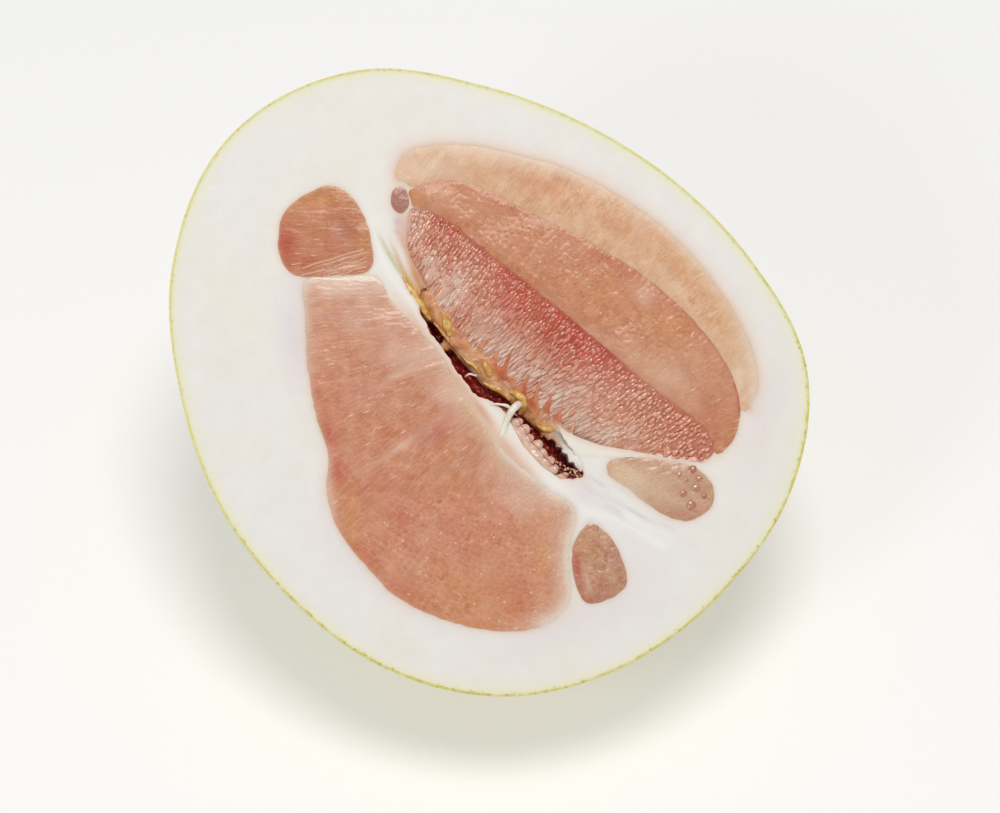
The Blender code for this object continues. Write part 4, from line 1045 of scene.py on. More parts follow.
# The marks say where the photograph shows patches of each colour, in its pixels. "soft" is where the flesh fades
# into the white: how much, within how many millimetres, and where.
segments = {
    "segmentLeftTip": {
        "outline": "leftTip", "edge": (0.6, 0.35), "node": "segment_left_tip", "depth": 16,
        "material": apricotVesicles, "fan": (120, 34), "length": 9.0, "width": 1.1, "relief": 0.03,
        "crown": 0.2, "spacing": 0.3, "shift": -1.4, "seam": 0.1,
        "red": [(154, 347, 12, 18, 10, 1.0), (170, 366, 14, 5, 10, 0.45), (192, 352, 12, 7, 0, 0.3),
                (184, 325, 10, 10, 0, 0.15)],
        "pale": [(206, 363, 20, 2.2, 13, 0.5), (198, 373, 24, 2.5, 8, 0.55), (214, 368, 10, 3, 10, 0.5)],
        "amber": [(190, 311, 28, 7, 0, 0.6), (223, 345, 5, 18, -12, 0.5), (172, 318, 12, 7, 30, 0.4)],
        "purple": [(205, 340, 10, 8, 0, 0.3)],
        # wet folds along its lower edge: where each crest runs, its half width and its height in millimetres
        "folds": [([(170, 371), (182, 367), (195, 364), (208, 360), (222, 357)], 0.50, 0.22),
                  ([(168, 377), (178, 375), (188, 373)], 0.50, 0.22),
                  ([(196, 371), (206, 368), (214, 368), (224, 364)], 0.45, 0.26),
                  ([(186, 379), (198, 376), (204, 378), (214, 374), (225, 372)], 0.40, 0.20)],
    },
    "segmentLeft": {
        "outline": "left", "edge": (0.55, 0.4), "node": "segment_left", "depth": 22,
        "material": salmonVesicles, "fan": (31.8, 20.4), "length": 7.0, "width": 1.25, "relief": 0.06,
        "crown": 0.22, "spacing": 0.34, "seam": 0.12,
        "red": [(245, 590, 14, 12, 0, 0.55), (252, 614, 10, 9, 0, 0.5), (335, 655, 18, 12, 0, 0.5),
                (347, 672, 12, 9, 0, 0.4), (186, 518, 6, 12, 0, 0.9), (193, 548, 9, 14, 0, 0.7),
                (283, 517, 7, 7, 0, 0.6), (245, 655, 22, 10, -20, 0.5), (300, 600, 30, 24, 0, 0.25),
                (230, 560, 20, 16, 0, 0.35), (179, 486, 5, 16, 5, 0.6), (212, 620, 9, 14, 30, 0.5),
                (310, 690, 40, 8, 0, 0.4)],
        "pale": [(205, 388, 40, 13, 0, 0.8), (215, 408, 34, 16, 0, 0.45), (345, 575, 34, 14, -45, 0.55),
                 (250, 440, 50, 22, -30, 0.3), (292, 490, 34, 12, -58, 0.4), (184, 570, 6, 34, 4, 0.5),
                 (262, 452, 26, 12, 0, 0.35), (270, 430, 26, 8, -52, 0.4), (298, 480, 16, 12, 0, 0.35),
                 (246, 530, 16, 4, 36, 0.5), (225, 545, 10, 3, 30, 0.4), (250, 466, 12, 3, 25, 0.4)],
        "amber": [(312, 503, 7, 30, 28, 1.0), (376, 590, 8, 12, 0, 0.5), (286, 470, 6, 26, 32, 0.5),
                  (300, 684, 34, 9, 0, 0.45), (310, 660, 60, 24, -8, 0.3), (366, 628, 8, 18, 0, 0.5),
                  (202, 595, 9, 30, 8, 0.5), (250, 396, 16, 9, -30, 0.4), (290, 560, 10, 20, 30, 0.2),
                  (232, 660, 26, 10, -40, 0.3), (335, 545, 8, 12, 30, 0.4)],
        "purple": [(187, 414, 14, 4, 5, 0.55), (225, 470, 30, 30, 0, 0.1), (276, 520, 8, 10, -30, 0.4),
                   (372, 648, 4, 10, 0, 0.3)],
        "round": [(300, 680, 120, 70, 0, 1.0), (260, 610, 60, 40, 0, 0.8), (350, 620, 60, 60, 0, 0.9)],
        "soft": (1.0, 2.6, [(168, 420, 12, 60, 0, 0.5), (205, 380, 60, 16, 0, 0.8), (176, 560, 12, 36, 0, 0.5),
                            (388, 610, 30, 60, 0, 1.4), (380, 680, 30, 20, 0, 1.2), (350, 555, 40, 30, -40, 1.1),
                            (366, 578, 26, 20, -45, 1.2), (300, 470, 60, 16, -55, 0.5)]),
    },
    "segmentBottom": {
        "outline": "bottom", "edge": (0.45, 0.35), "node": "segment_bottom", "depth": 12,
        "material": tanVesicles, "fan": (31.8, 20.4), "length": 2.4, "width": 1.7, "relief": 0.08,
        "crown": 0.5, "spacing": 0.26, "seam": 0.16, "shift": 0.3,
        "red": [(397, 650, 5, 15, 8, 1.1), (404, 667, 9, 5, 0, 0.8), (393, 630, 3, 16, 4, 0.45),
                (415, 655, 10, 8, 0, 0.25)],
        "pale": [(403, 652, 1.8, 13, 14, 0.9), (401, 660, 2, 8, 10, 0.5), (418, 610, 6, 5, 0, 0.25),
                 (425, 650, 5, 4, 0, 0.3)],
        "amber": [(404, 618, 12, 12, 0, 0.45), (420, 650, 8, 6, 0, 0.3)],
        "purple": [(408, 666, 12, 5, 0, 0.5), (428, 630, 4, 14, 0, 0.3)],
        "round": [(412, 640, 60, 60, 0, 1.0)],
    },
    "segmentRightOuter": {
        "outline": "rightOuter", "edge": (0.75, 1.5), "node": "segment_right_outer", "depth": 14,
        "material": veiledVesicles, "fan": (-110, -95), "length": 9.0, "width": 1.6, "relief": 0.05,
        "crown": 0.2, "seam": 0.10, "under": "rightMiddle",
        "red": [(380, 310, 34, 10, -28, 0.6), (440, 340, 30, 10, -35, 0.5), (500, 392, 26, 6, -50, 0.5),
                (330, 292, 40, 5, -14, 0.35)],
        "pale": [(280, 285, 40, 14, 0, 0.45), (545, 485, 10, 26, 0, 0.6), (350, 282, 60, 6, -12, 0.3)],
        "amber": [(500, 380, 30, 10, -45, 0.5), (535, 440, 10, 36, 12, 0.4)],
        "soft": (0.8, 2.0, [(380, 270, 140, 30, -18, 0.8), (545, 480, 20, 50, 0, 0.9),
                            (500, 350, 70, 16, -50, 0.7)]),
    },
    "segmentRightMiddle": {
        "outline": "rightMiddle", "edge": (0.3, 0.4), "node": "segment_right_middle", "depth": 20,
        "material": apricotVesicles, "fan": (-110, -95), "length": 2.6, "width": 1.3, "relief": 0.06,
        "crown": 0.22, "spacing": 0.36, "seam": 0.08, "under": "rightInner", "rimAgainst": "rightOuter",
        "rimRed": 0.55, "shift": 0.8,
        "red": [(345, 318, 20, 8, -30, 0.3), (440, 378, 34, 9, -40, 0.35), (492, 415, 9, 30, 35, 0.35),
                (515, 515, 10, 18, 0, 0.3)],
        "pale": [(463, 406, 14, 8, -40, 0.5), (380, 420, 50, 9, -42, 0.35), (470, 475, 34, 14, -40, 0.4),
                 (285, 318, 14, 10, 0, 0.25), (425, 445, 30, 6, -42, 0.35), (500, 480, 24, 30, -60, 0.4)],
        "amber": [(325, 302, 30, 8, -12, 0.4), (480, 430, 30, 14, -40, 0.3), (268, 312, 8, 12, 0, 0.3),
                  (425, 400, 20, 12, -40, 0.2)],
        "round": [(400, 380, 150, 150, 0, 1.0)],
    },
    "segmentRightInner": {
        "outline": "rightInner", "edge": (0.2, 0.4), "node": "segment_right_inner", "depth": 20,
        "material": roseVesicles, "fan": (-110, -95), "length": 4.6, "width": 1.35, "relief": 0.12,
        "crown": 0.4, "slope": True, "spacing": 0.4, "rimAgainst": "rightMiddle", "rimRed": 0.5,
        "red": [(300, 340, 14, 9, -40, 0.5), (330, 364, 20, 10, -40, 0.8), (356, 388, 22, 13, -42, 1.0),
                (385, 416, 28, 19, -42, 1.1), (412, 442, 28, 19, -42, 1.0), (438, 466, 22, 13, -42, 0.65),
                (395, 470, 34, 14, -42, 0.4), (455, 500, 34, 16, -34, 0.25), (345, 412, 26, 14, -42, 0.45),
                (490, 520, 20, 14, -30, 0.3)],
        "pale": [(298, 396, 24, 14, 50, 0.9), (282, 372, 9, 12, 0, 0.8), (330, 428, 16, 18, 40, 0.6),
                 (345, 452, 18, 11, 40, 0.8), (385, 492, 18, 9, 20, 0.7), (372, 470, 14, 12, 20, 0.6),
                 (268, 340, 12, 22, 0, 0.5), (345, 480, 9, 8, 0, 0.5), (322, 444, 14, 8, -50, 0.6),
                 (352, 470, 14, 8, 40, 0.7), (375, 492, 12, 8, 40, 0.6), (425, 520, 34, 9, -14, 0.6),
                 (405, 490, 24, 12, -30, 0.4), (450, 502, 46, 24, -38, 0.3), (415, 530, 34, 9, -12, 0.7),
                 (398, 512, 14, 10, 0, 0.6)],
        "amber": [(450, 515, 44, 20, -20, 0.6), (337, 456, 15, 6, -66, 1.0), (360, 482, 14, 6, -62, 1.0),
                  (384, 502, 11, 7, -60, 0.8), (312, 432, 12, 5, -50, 0.6), (292, 418, 13, 5, -58, 0.6),
                  (262, 322, 10, 10, 0, 0.3), (262, 362, 16, 4, -75, 0.7), (276, 394, 12, 4, -60, 0.5)],
        "purple": [(300, 370, 24, 20, 0, 0.25), (480, 530, 30, 14, -20, 0.2)],
        "soft": (0.8, 1.6, [(262, 340, 14, 40, 0, 0.9), (430, 545, 60, 14, -12, 0.8)]),
    },
    "segmentRightTip": {
        "outline": "rightTip", "edge": (0.45, 0.35), "node": "segment_right_tip", "depth": 14,
        "material": tanVesicles, "fan": (-110, -95), "length": 2.8, "width": 1.9, "relief": 0.05, "crown": 0.4,
        "spacing": 0.26, "seam": 0.14, "shift": 1.6,
        "red": [(470, 545, 20, 5, -12, 0.45), (494, 560, 12, 5, -40, 0.35), (488, 596, 14, 4, 10, 0.35),
                (505, 580, 5, 12, 0, 0.3)],
        "pale": [(440, 562, 20, 12, -35, 0.75), (462, 574, 16, 10, -30, 0.5), (484, 588, 8, 6, 0, 0.35),
                 (492, 575, 30, 28, 0, 0.4)],
        "amber": [(425, 550, 5, 8, 0, 0.6), (452, 586, 8, 5, -30, 0.3)],
        "purple": [(494, 566, 18, 14, 0, 0.5), (478, 595, 20, 6, -10, 0.3)],
        "round": [(490, 575, 40, 40, 0, 1.0)],
        "folds": [([(424, 550), (431, 544), (441, 541), (452, 542), (466, 546)], 0.55, 0.30)],
        "soft": (0.7, 1.4, [(440, 575, 24, 14, -35, 0.8)]),
    },
    "segmentSmall": {
        "outline": "small", "edge": (0.3, 0.4), "node": "segment_small", "depth": 6, "material": tanVesicles,
        "fan": (-110, -95), "length": 1.6, "width": 1.0, "relief": 0.06, "crown": 0.25, "seam": 0.0,
        "shift": -2.0,
        "purple": [(259, 314, 30, 30, 0, 0.85)],
        "round": [(259, 314, 60, 60, 0, 1.0)],
    },
}


def buildSegment(name, look, seed):
    outline = curves[look["outline"]]
    flat, faces = sheetOver(outline, [], look.get("spacing", 0.4), seed)
    inside = offLine(flat, outline, True)
    fan = np.array(look["fan"], float)
    spoke = flat - fan
    along = np.linalg.norm(spoke, axis=1)
    middle = outline.mean(0) - fan
    turn = np.arctan2(spoke[:, 1], spoke[:, 0]) - math.atan2(middle[1], middle[0])
    turn = (turn + math.pi) % (2 * math.pi) - math.pi
    across = turn * along.mean() + softNoise(flat, 11, seed + 1) * 0.4 + softNoise(flat, 3.5, seed + 2) * 0.10
    border, tone = vesicleCells(along, across, look["length"], look["width"], seed + 3)
    cellBorder, cellTone = vesicleCells(along, across, look["width"] * 1.35, look["width"] * 1.25, seed + 7)
    roundness = smoothStep(0.38, 0.55, spots(flat, look.get("round", [])) + 0.12 * softNoise(flat, 6, seed + 4))
    border = border * (1 - roundness) + cellBorder * roundness
    tone = tone * (1 - roundness) + cellTone * roundness
    swell = np.sqrt(1 - (1 - np.clip(border / 0.7, 0, 1)) ** 2)
    height = ground(flat) + 0.01
    if look.get("slope"):   # it lies a little low, between the vesicles that stand on it
        height += innerSlope(flat) - 0.32 * smoothStep(0, 1.0, inside)
    height += (look["crown"] * (1 - np.exp(-inside / 2.5)) * 0.5
               + softNoise(flat, 7, seed + 5) * 0.10 * smoothStep(0, 3, inside))
    height += look["relief"] * swell * (0.75 + 0.35 * tone) * smoothStep(0, 0.6, inside)
    red = spots(flat, look.get("red", []))
    edgeAmount, edgeWidth = look["edge"]
    edge = edgeAmount * np.exp(-(inside / edgeWidth) ** 1.5)
    if "under" in look:   # dips under its neighbour's edge
        below = inwards(flat, curves[look["under"]])
        height -= 0.14 * smoothStep(-2.5, 0, below) + 0.45 * smoothStep(0, 0.9, below)
        edge *= smoothStep(1.0, 3.0, offLine(flat, curves[look["under"]], True))
    if "rimAgainst" in look:   # redder where it lies on its neighbour
        beside = smoothStep(3.4, 2.0, offLine(flat, coarse[look["rimAgainst"]], True))
        edge *= 1 - beside
        red = np.maximum(red, look["rimRed"] * beside * np.exp(-(inside / 0.7) ** 1.5))
    # on the folds, the troughs are painted redder as painted shade and the crests paler as painted highlight
    paintedCreaseShade, paintedCrestHighlight = np.zeros(len(flat)), np.zeros(len(flat))
    for crest, width, rise in look.get("folds", []):
        far = offLine(flat, curveThrough([onFace(*place) for place in crest], 0.5, closed=False))
        height += rise * (1.4 * np.exp(-(far / (0.5 * width)) ** 2)
                          - 0.4 * np.exp(-((far - width) / (0.35 * width)) ** 2))
        paintedCreaseShade = np.maximum(paintedCreaseShade, np.exp(-((far - width) / (0.4 * width)) ** 2))
        paintedCrestHighlight = np.maximum(paintedCrestHighlight, np.exp(-(far / (0.45 * width)) ** 2))
    points = np.column_stack([flat, height])
    lowest = min(-3, height.min() - 2)
    levels = [(lowest * 0.5, 0.005), (lowest, 0.02), (-look["depth"], 0.10)]
    points, faces, source = addSkirt(points, faces, levels, outline.mean(0))
    patchy = 0.75 + 0.35 * softNoise(flat, 5, seed + 9)
    seam = smoothStep(0.22, 0.0, border) * look.get("seam", 0.1)
    veil = np.zeros(len(flat))
    if "soft" in look:
        amount, width, marks = look["soft"]
        veil = amount * np.exp(-(inside / width) ** 1.2) * spots(flat, marks)
        if "under" in look:
            veil *= smoothStep(1.5, 4.0, offLine(flat, curves[look["under"]], True))
    patches = {label: spots(flat, look.get(label, [])) * patchy for label in ("pale", "amber", "purple")}
    # painted highlight on the fold crests; the painted shade in the troughs goes into red below
    patches["pale"] = np.maximum(patches["pale"], paintedCrestHighlight * 0.8)
    makePiece(name, points, faces, look["material"], slot="red_flesh" if look.get("slope") else "flesh",
              replaces=(look["node"],), source=source, along=along, across=across,
              tone=tone + look.get("shift", 0), seam=seam, red=np.maximum(red * patchy, paintedCreaseShade * 0.35),
              round=roundness, edge=edge, veil=veil, **patches)


for number, (name, look) in enumerate(segments.items()):
    buildSegment(name, look, 100 + 20 * number)

creviceLook = {"depth": 10.5, "taper": 0.10, "rings": 16, "bulge": 0.6, "rimBelow": 0.7}


def slopeBeside(flat):
    # The height of the ground at the crevice: the face on its left, the inner segment's foot on its right.
    near = smoothStep(3.6, 1.0, -np.minimum(inwards(flat, coarse["rightInner"]), 0))
    return near * innerSlope(flat), near


def buildCrevice():
    # Its walls, from just under the lip down, bulging with the ends of the vesicles behind them.
    ring = crevice
    middle = ring.mean(0)
    count = len(ring)
    run = np.linspace(0, count * 0.5, count, endpoint=False)
    slope, near = slopeBeside(ring)
    top = np.minimum(-0.15, slope - creviceLook["rimBelow"] * near)
    points, depths, faces = [], [], []
    outward = grown(ring, 1.0) - ring
    for step in np.linspace(0, 1, creviceLook["rings"]):
        height = top + (-creviceLook["depth"] - top) * step
        border, tone = vesicleCells(height, run, 3.0, 2.0, 51)
        push = creviceLook["bulge"] * (smoothStep(0, 0.6, border) - 0.6) * min(1, step * 4)
        place = ring + (middle - ring) * creviceLook["taper"] * step - outward * push[:, None]
        points.append(np.column_stack([place, height]))
        depths.append(-height)
    index = np.arange(count)
    ahead = (index + 1) % count
    for k in range(creviceLook["rings"] - 1):
        upper, lower = k * count, (k + 1) * count
        faces.append(np.stack([upper + index, upper + ahead, lower + ahead], 1))
        faces.append(np.stack([upper + index, lower + ahead, lower + index], 1))
    base = points[-1][:, :2]
    flat, cap = sheetOver(base, [], 0.55, 61)
    first = creviceLook["rings"] * count
    border, _ = vesicleCells(flat[:, 0], flat[:, 1], 2.6, 2.6, 63)
    rise = (0.4 + smoothStep(0, 0.6, border) * 1.6) * smoothStep(0, 1.2, offLine(flat, base, True))
    points.append(np.column_stack([flat, rise - creviceLook["depth"]]))
    # the lumps on its floor get less of the painted shade
    depths.append(creviceLook["depth"] - rise * 2.5)
    faces.append(cap + first)
    makePiece("creviceWall", np.concatenate(points), np.concatenate(faces), redCavityWithPaintedShade, slot="red_flesh",
              depth=np.concatenate(depths))


buildCrevice()


shelfLook = {
    # laid over one another in this order, each where its mark is
    "colours": {"torn": "#D8926F", "rustAndPaintedShade": "#C7643E", "cream": "#E3CDB0", "gold": "#D9A83C", "white": "#E4DFD6"},
    # in the photograph's pixels: the dark edge on the left going down, then back up over the inner segment
    "outline": [(268, 402), (270, 411), (274, 418), (279, 420), (284, 424), (289, 431), (288, 438), (283, 440),
                (284, 444), (289, 445), (295, 444), (301, 451), (306, 457), (311, 463), (315, 468), (319, 473),
                (324, 478), (331, 481), (338, 486), (344, 491), (349, 496), (353, 502), (358, 508), (364, 514),
                (369, 519), (370, 524), (373, 523), (376, 527), (379, 526), (382, 530), (382, 533), (387, 535),
                (387, 539), (391, 541), (392, 545), (392, 548), (396, 549), (398, 553), (403, 557), (404, 547),
                (398, 536), (396, 526), (399, 513), (393, 519), (388, 513), (389, 499), (383, 506), (378, 502),
                (380, 487), (373, 497), (368, 493), (371, 476), (363, 489), (358, 485), (361, 470), (354, 480),
                (349, 476), (352, 461), (347, 470), (342, 467), (348, 447), (339, 461), (334, 459), (336, 446),
                (329, 454), (322, 449), (326, 437), (316, 443), (309, 434), (314, 423), (304, 429), (297, 419),
                (303, 407), (294, 413), (285, 401), (290, 391), (280, 395), (270, 391)],
    "gold": [(270, 404, 16, 4, -58, 0.9), (291, 422, 7, 4, -70, 0.8), (326, 465, 7, 4, -60, 0.9),
             (351, 493, 9, 5, -60, 0.8), (375, 517, 10, 4, -15, 0.8)],
    "cream": [(334, 482, 13, 5, -40, 0.9), (305, 452, 10, 5, -45, 0.6), (347, 503, 9, 6, -50, 0.6),
              (292, 438, 6, 4, 0, 0.4), (310, 462, 8, 4, -50, 0.5)],
    "white": [(396, 542, 17, 12, -60, 1.4), (385, 522, 8, 5, -50, 0.5)],
    # partly painted shade: between the torn teeth and the vesicles under them
    "rustAndPaintedShade": [(344, 457, 12, 5, 70, 0.9), (361, 477, 12, 5, 70, 0.6), (380, 494, 12, 5, 70, 0.7),
             (336, 466, 13, 5, -65, 0.8), (361, 488, 13, 6, -60, 0.85), (286, 433, 6, 5, 0, 0.5),
             (301, 440, 10, 6, -40, 0.5), (384, 506, 10, 6, -60, 0.7)],
    "brown": [(368, 523, 8, 4, -40, 0.9), (382, 532, 6, 3, -50, 0.8), (389, 545, 7, 2.5, -60, 0.9),
              (397, 554, 6, 3, -50, 0.8), (284, 442, 5, 4, 0, 0.5), (312, 466, 7, 4, -40, 0.5),
              (276, 414, 4, 5, 0, 0.4)],
}


def makeDriedMaterial():
    # Segment skin that has dried in the crevice: a parchment film, golden where thin, rust where it is thick; some
    # of the rust is painted shade between its torn edge and the vesicles under it.
    material, tree, shader = startMaterial("driedSegmentSkin")
    place = addNode(tree, "TexCoord").outputs["Object"]
    cloud = addNode(tree, "TexNoise", {"Vector": place, "Scale": 650.0, "Detail": 4.0, "Roughness": 0.6})
    tone = addNode(tree, "MapRange", {"Value": cloud.outputs["Fac"], "From Min": 0.35, "From Max": 0.65})
    colour = mixColour(tree, tone, "#CB8350", "#E0AE80")
    for name, laid in shelfLook["colours"].items():
        colour = mixColour(tree, mark(tree, name), colour, laid)
    mottled = addNode(tree, "Math", {0: tone, 1: mark(tree, "brown")}, operation="MULTIPLY")
    colour = mixColour(tree, mottled, colour, "#8A3E14")
    bump = addNode(tree, "Bump", {"Height": cloud.outputs["Fac"], "Distance": 0.0005, "Strength": 0.8})
    setInputs(tree, shader, {"Base Color": colour, "Normal": bump, "Roughness": 0.48,
                             "Subsurface Weight": 0.4, "Subsurface Radius": (1.0, 0.6, 0.3),
                             "Subsurface Scale": 0.0012, "Coat Weight": 0.2, "Coat Roughness": 0.12})
    return material


driedSegmentSkin = makeDriedMaterial()


def buildShelf():
    outline = anticlockwise(np.array([onFace(*p) for p in shelfLook["outline"]]))
    outline = curveThrough(outline, 0.3)
    outline = grown(outline, (0.12 * softNoise(outline, 0.7, 144))[:, None])
    flat, faces = sheetOver(outline, [], 0.3, 141)
    inside = offLine(flat, outline, True)
    inner = inwards(flat, coarse["rightInner"])
    slope = innerSlope(flat) * smoothStep(-6.5, 0.0, inner + 3.5)
    # flush with the pith at its lower end
    low = smoothStep(4.0, 16.0, np.linalg.norm(flat - onFace(404, 560), axis=1))
    height = (slope * low + 0.30 * low
              + (0.32 * softNoise(flat, 2.0, 142) + 0.10 * softNoise(flat, 0.8, 143)) * (0.4 + 0.6 * low))
    teeth = smoothStep(0.5, 2.5, inner)   # torn up over the inner segment's vesicles
    height += 0.25 * teeth - 0.7 * np.exp(-inside / 0.45) * (0.3 + 0.7 * low) * (1 - 0.6 * teeth)
    points = np.column_stack([flat, height])
    points, faces, source = addSkirt(points, faces, [(height.min() - 0.5, 0.0), (height.min() - 2.5, 0.0)])
    marks = {name: spots(flat, shelfLook[name]) for name in ("gold", "cream", "white", "rustAndPaintedShade", "brown")}
    makePiece("driedSkins", points, faces, driedSegmentSkin, slot="membrane", source=source,
              torn=teeth * 0.8, **marks)


buildShelf()


vesicleSkinLook = {
    # beside the crevice, pale; on the inner segment, from ruby on its ridge to pearly down its slope
    # each look's side colour is painted shade for a vesicle's sides
    "crevice": {"deep": "#CC8E74", "light": "#DDAF98", "red": "#B85A45", "pale": "#E2C5B2", "amber": "#D09A6A",
                "root": "#E2C8B6", "side": "#C07A62"},
    "inner": {"deep": "#C06C50", "light": "#DFA488", "red": "#C64B36", "pale": "#E1C1AE", "amber": "#D08350",
              "root": "#B8654C", "side": "#C4705A"},
    "tip": {"deep": "#A86C50", "light": "#C9987C", "red": "#A85040", "pale": "#DDBFA8", "amber": "#C9965A",
            "root": "#A0644A", "side": "#9A5640"},
}


def makeVesicleMaterial(name, look, wet=0.9):
    # Whole vesicles: a clear taut skin round the juice, so each one holds a small sharp highlight.
    material, tree, shader = startMaterial(name)
    place = addNode(tree, "TexCoord").outputs["Object"]
    cloud = addNode(tree, "TexNoise", {"Vector": place, "Scale": 900.0, "Detail": 3.0,
                                       "Roughness": 0.6}).outputs["Fac"]
    tone = addNode(tree, "MapRange", {"Value": cloud, "From Min": 0.3, "From Max": 0.7})
    tone = addNode(tree, "Math", {0: mark(tree, "tone"), 1: 0.45, 2: tone}, operation="MULTIPLY_ADD",
                   use_clamp=True)
    root = addNode(tree, "MapRange", {"Value": mark(tree, "end"), "From Min": 0.35, "From Max": 0.0, "To Max": 0.8})
    colour = mixColour(tree, tone, look["deep"], look["light"])
    for name in ("red", "amber", "pale"):
        colour = mixColour(tree, mark(tree, name), colour, look[name])
    colour = mixColour(tree, root, colour, look["root"])
    # painted shade: each vesicle's sides are painted deeper and darker than its top, less so where it is pale
    side = addNode(tree, "MapRange", {"Value": mark(tree, "top"), "From Min": 0.80, "From Max": 0.10,
                                      "To Max": 0.60}, interpolation_type="SMOOTHSTEP")
    clear = addNode(tree, "Math", {0: mark(tree, "pale"), 1: -0.9, 2: 1.0}, operation="MULTIPLY_ADD",
                    use_clamp=True)
    side = addNode(tree, "Math", {0: side, 1: clear}, operation="MULTIPLY")
    colour = mixColour(tree, side, colour, look["side"])
    bump = addNode(tree, "Bump", {"Height": cloud, "Distance": 0.00006, "Strength": 0.5})
    setInputs(tree, shader, {"Base Color": colour, "Normal": bump, "Roughness": 0.26, "IOR": 1.38,
                             "Subsurface Weight": 0.3, "Subsurface Radius": (1.0, 0.6, 0.5),
                             "Subsurface Scale": 0.0004, "Coat Weight": wet, "Coat Roughness": 0.10,
                             "Coat IOR": 1.45})
    return material


creviceVesicleSkins = makeVesicleMaterial("creviceVesicleSkins", vesicleSkinLook["crevice"], wet=0.3)
innerVesicleSkins = makeVesicleMaterial("innerVesicleSkins", vesicleSkinLook["inner"])
tipVesicleSkins = makeVesicleMaterial("tipVesicleSkins", vesicleSkinLook["tip"])

creviceBed = {   # places in the photograph's pixels, half widths in millimetres
    "route": ((337, 502), (343, 512), (351, 525), (361, 539), (370, 550), (380, 560)),
    "widths": (0.8, 1.7, 2.1, 2.1, 1.9, 1.0),
    "crumbs": ((376, 546), (411, 566)), "crumbCount": 90,
}
creviceDrops = [
    # tip and root in the photograph's pixels, half width in millimetres, how far below the face the tip is
    ((354, 510), (341, 514), 1.25, 0.2), ((360, 517), (346, 521), 1.45, 0.3), ((363, 525), (349, 528), 1.35, 0.1),
    ((371, 531), (356, 535), 1.45, 0.4), ((374, 539), (360, 542), 1.35, 0.1), ((380, 545), (366, 549), 1.4, 0.4),
    ((383, 553), (371, 556), 1.25, 0.2), ((391, 559), (378, 562), 1.0, 0.4), ((359, 521), (348, 528), 1.3, 1.5),
    ((369, 535), (357, 541), 1.4, 1.6), ((379, 549), (366, 553), 1.3, 1.6), ((347, 504), (334, 508), 0.9, 0.5),
]


def buildCreviceVesicles():
    # Pale soft vesicles lean out of the left wall, so that the dark has a scalloped edge.
    heap = Heap()
    bed = [(*onFace(column, row), -1.75) for column, row in creviceBed["route"]]
    bed = curveThrough(bed, 0.35, closed=False)
    width = np.interp(np.linspace(0, 1, len(bed)), np.linspace(0, 1, len(creviceBed["widths"])),
                      creviceBed["widths"])
    points, faces = tube(bed, width, width * 0.5, 20)
    points += 0.30 * softNoise(points, 2.0, 66)[:, None] + 0.10 * softNoise(points, 0.8, 67)[:, None]
    heap.add(points, faces, end=0.5, top=1.0, tone=0.2 * softNoise(points, 1.6, 68), pale=0.75, red=0.0, amber=0.0)
    for i, (tipPlace, rootPlace, half, down) in enumerate(creviceDrops):
        (x, y), (rootX, rootY) = onFace(*tipPlace), onFace(*rootPlace)
        wobble = chance(71, np.array([i]))[0] - 0.5
        points, faces, end, top = drop((rootX, rootY, -1.5), (x, y, -1.05 - 0.8 * down), half, bend=0.15, sides=18,
                                       flatness=0.5)
        points += 0.42 * softNoise(points, 1.9, 72 + i)[:, None] * (0.5, 0.5, 1.0)
        points += 0.16 * softNoise(points, 0.9, 92 + i)[:, None]
        heap.add(points, faces, end=end, top=top, tone=wobble * 0.8,
                 pale=np.clip(0.9 - 0.15 * down - 0.35 * end, 0, 1),
                 red=np.clip(0.14 * (down - 1.2), 0, 0.5), amber=0.0)
    # crumbs of torn skin over the crevice's lower end
    start, finish = (np.array(onFace(*place)) for place in creviceBed["crumbs"])
    for i in range(creviceBed["crumbCount"]):
        a, b, c, d, e = (chance(95 + k, np.array([i]))[0] for k in range(5))
        place = start + (finish - start) * a + np.array([0.75, 0.65]) * 1.6 * (b - 0.5)
        level = -2.8 + 2.2 * c
        size, turn = 0.12 + 0.22 * d, 6.28 * e
        lie = size * 0.9 * np.array([math.cos(turn), math.sin(turn)])
        points, faces, end, top = drop((*(place + lie), level - 0.1), (*(place - lie), level), size, sides=8,
                                       flatness=0.7)
        heap.add(points, faces, end=0.6, top=1.0, tone=2 * e - 1, pale=0.6 * c, red=0.7 * (1 - c),
                 amber=0.6 * (b > 0.6))
    heap.piece("creviceVesicles", creviceVesicleSkins, slot="flesh", replaces=("crevice_vesicles",))


buildCreviceVesicles()

innerVesicles = {
    # in millimetres: the spacing across and along the fibres, the length and the half width
    "beads": {"across": 0.98, "along": 1.45, "long": (1.1, 2.8), "half": (0.34, 0.70), "flatness": 0.62,
              "sides": 10},
    "drops": {"across": 0.80, "along": 2.1, "long": (3.4, 7.0), "half": (0.28, 0.62), "flatness": 0.44, "sides": 8},
    "ridgeWidth": 11,   # how far down the slope the beads go
    # the fan that they are laid out on: its first angle and reach, its size, and where its rows are measured
    "fanAngle": 22, "fanReach": 136, "fanSize": (110, 60), "middleReach": 165,
    # large ones: tip and root in the photograph's pixels, half width in millimetres
    "large": [((274, 387), (291, 364), 1.3), ((282, 403), (306, 377), 1.6), ((297, 413), (315, 391), 1.2)],
}


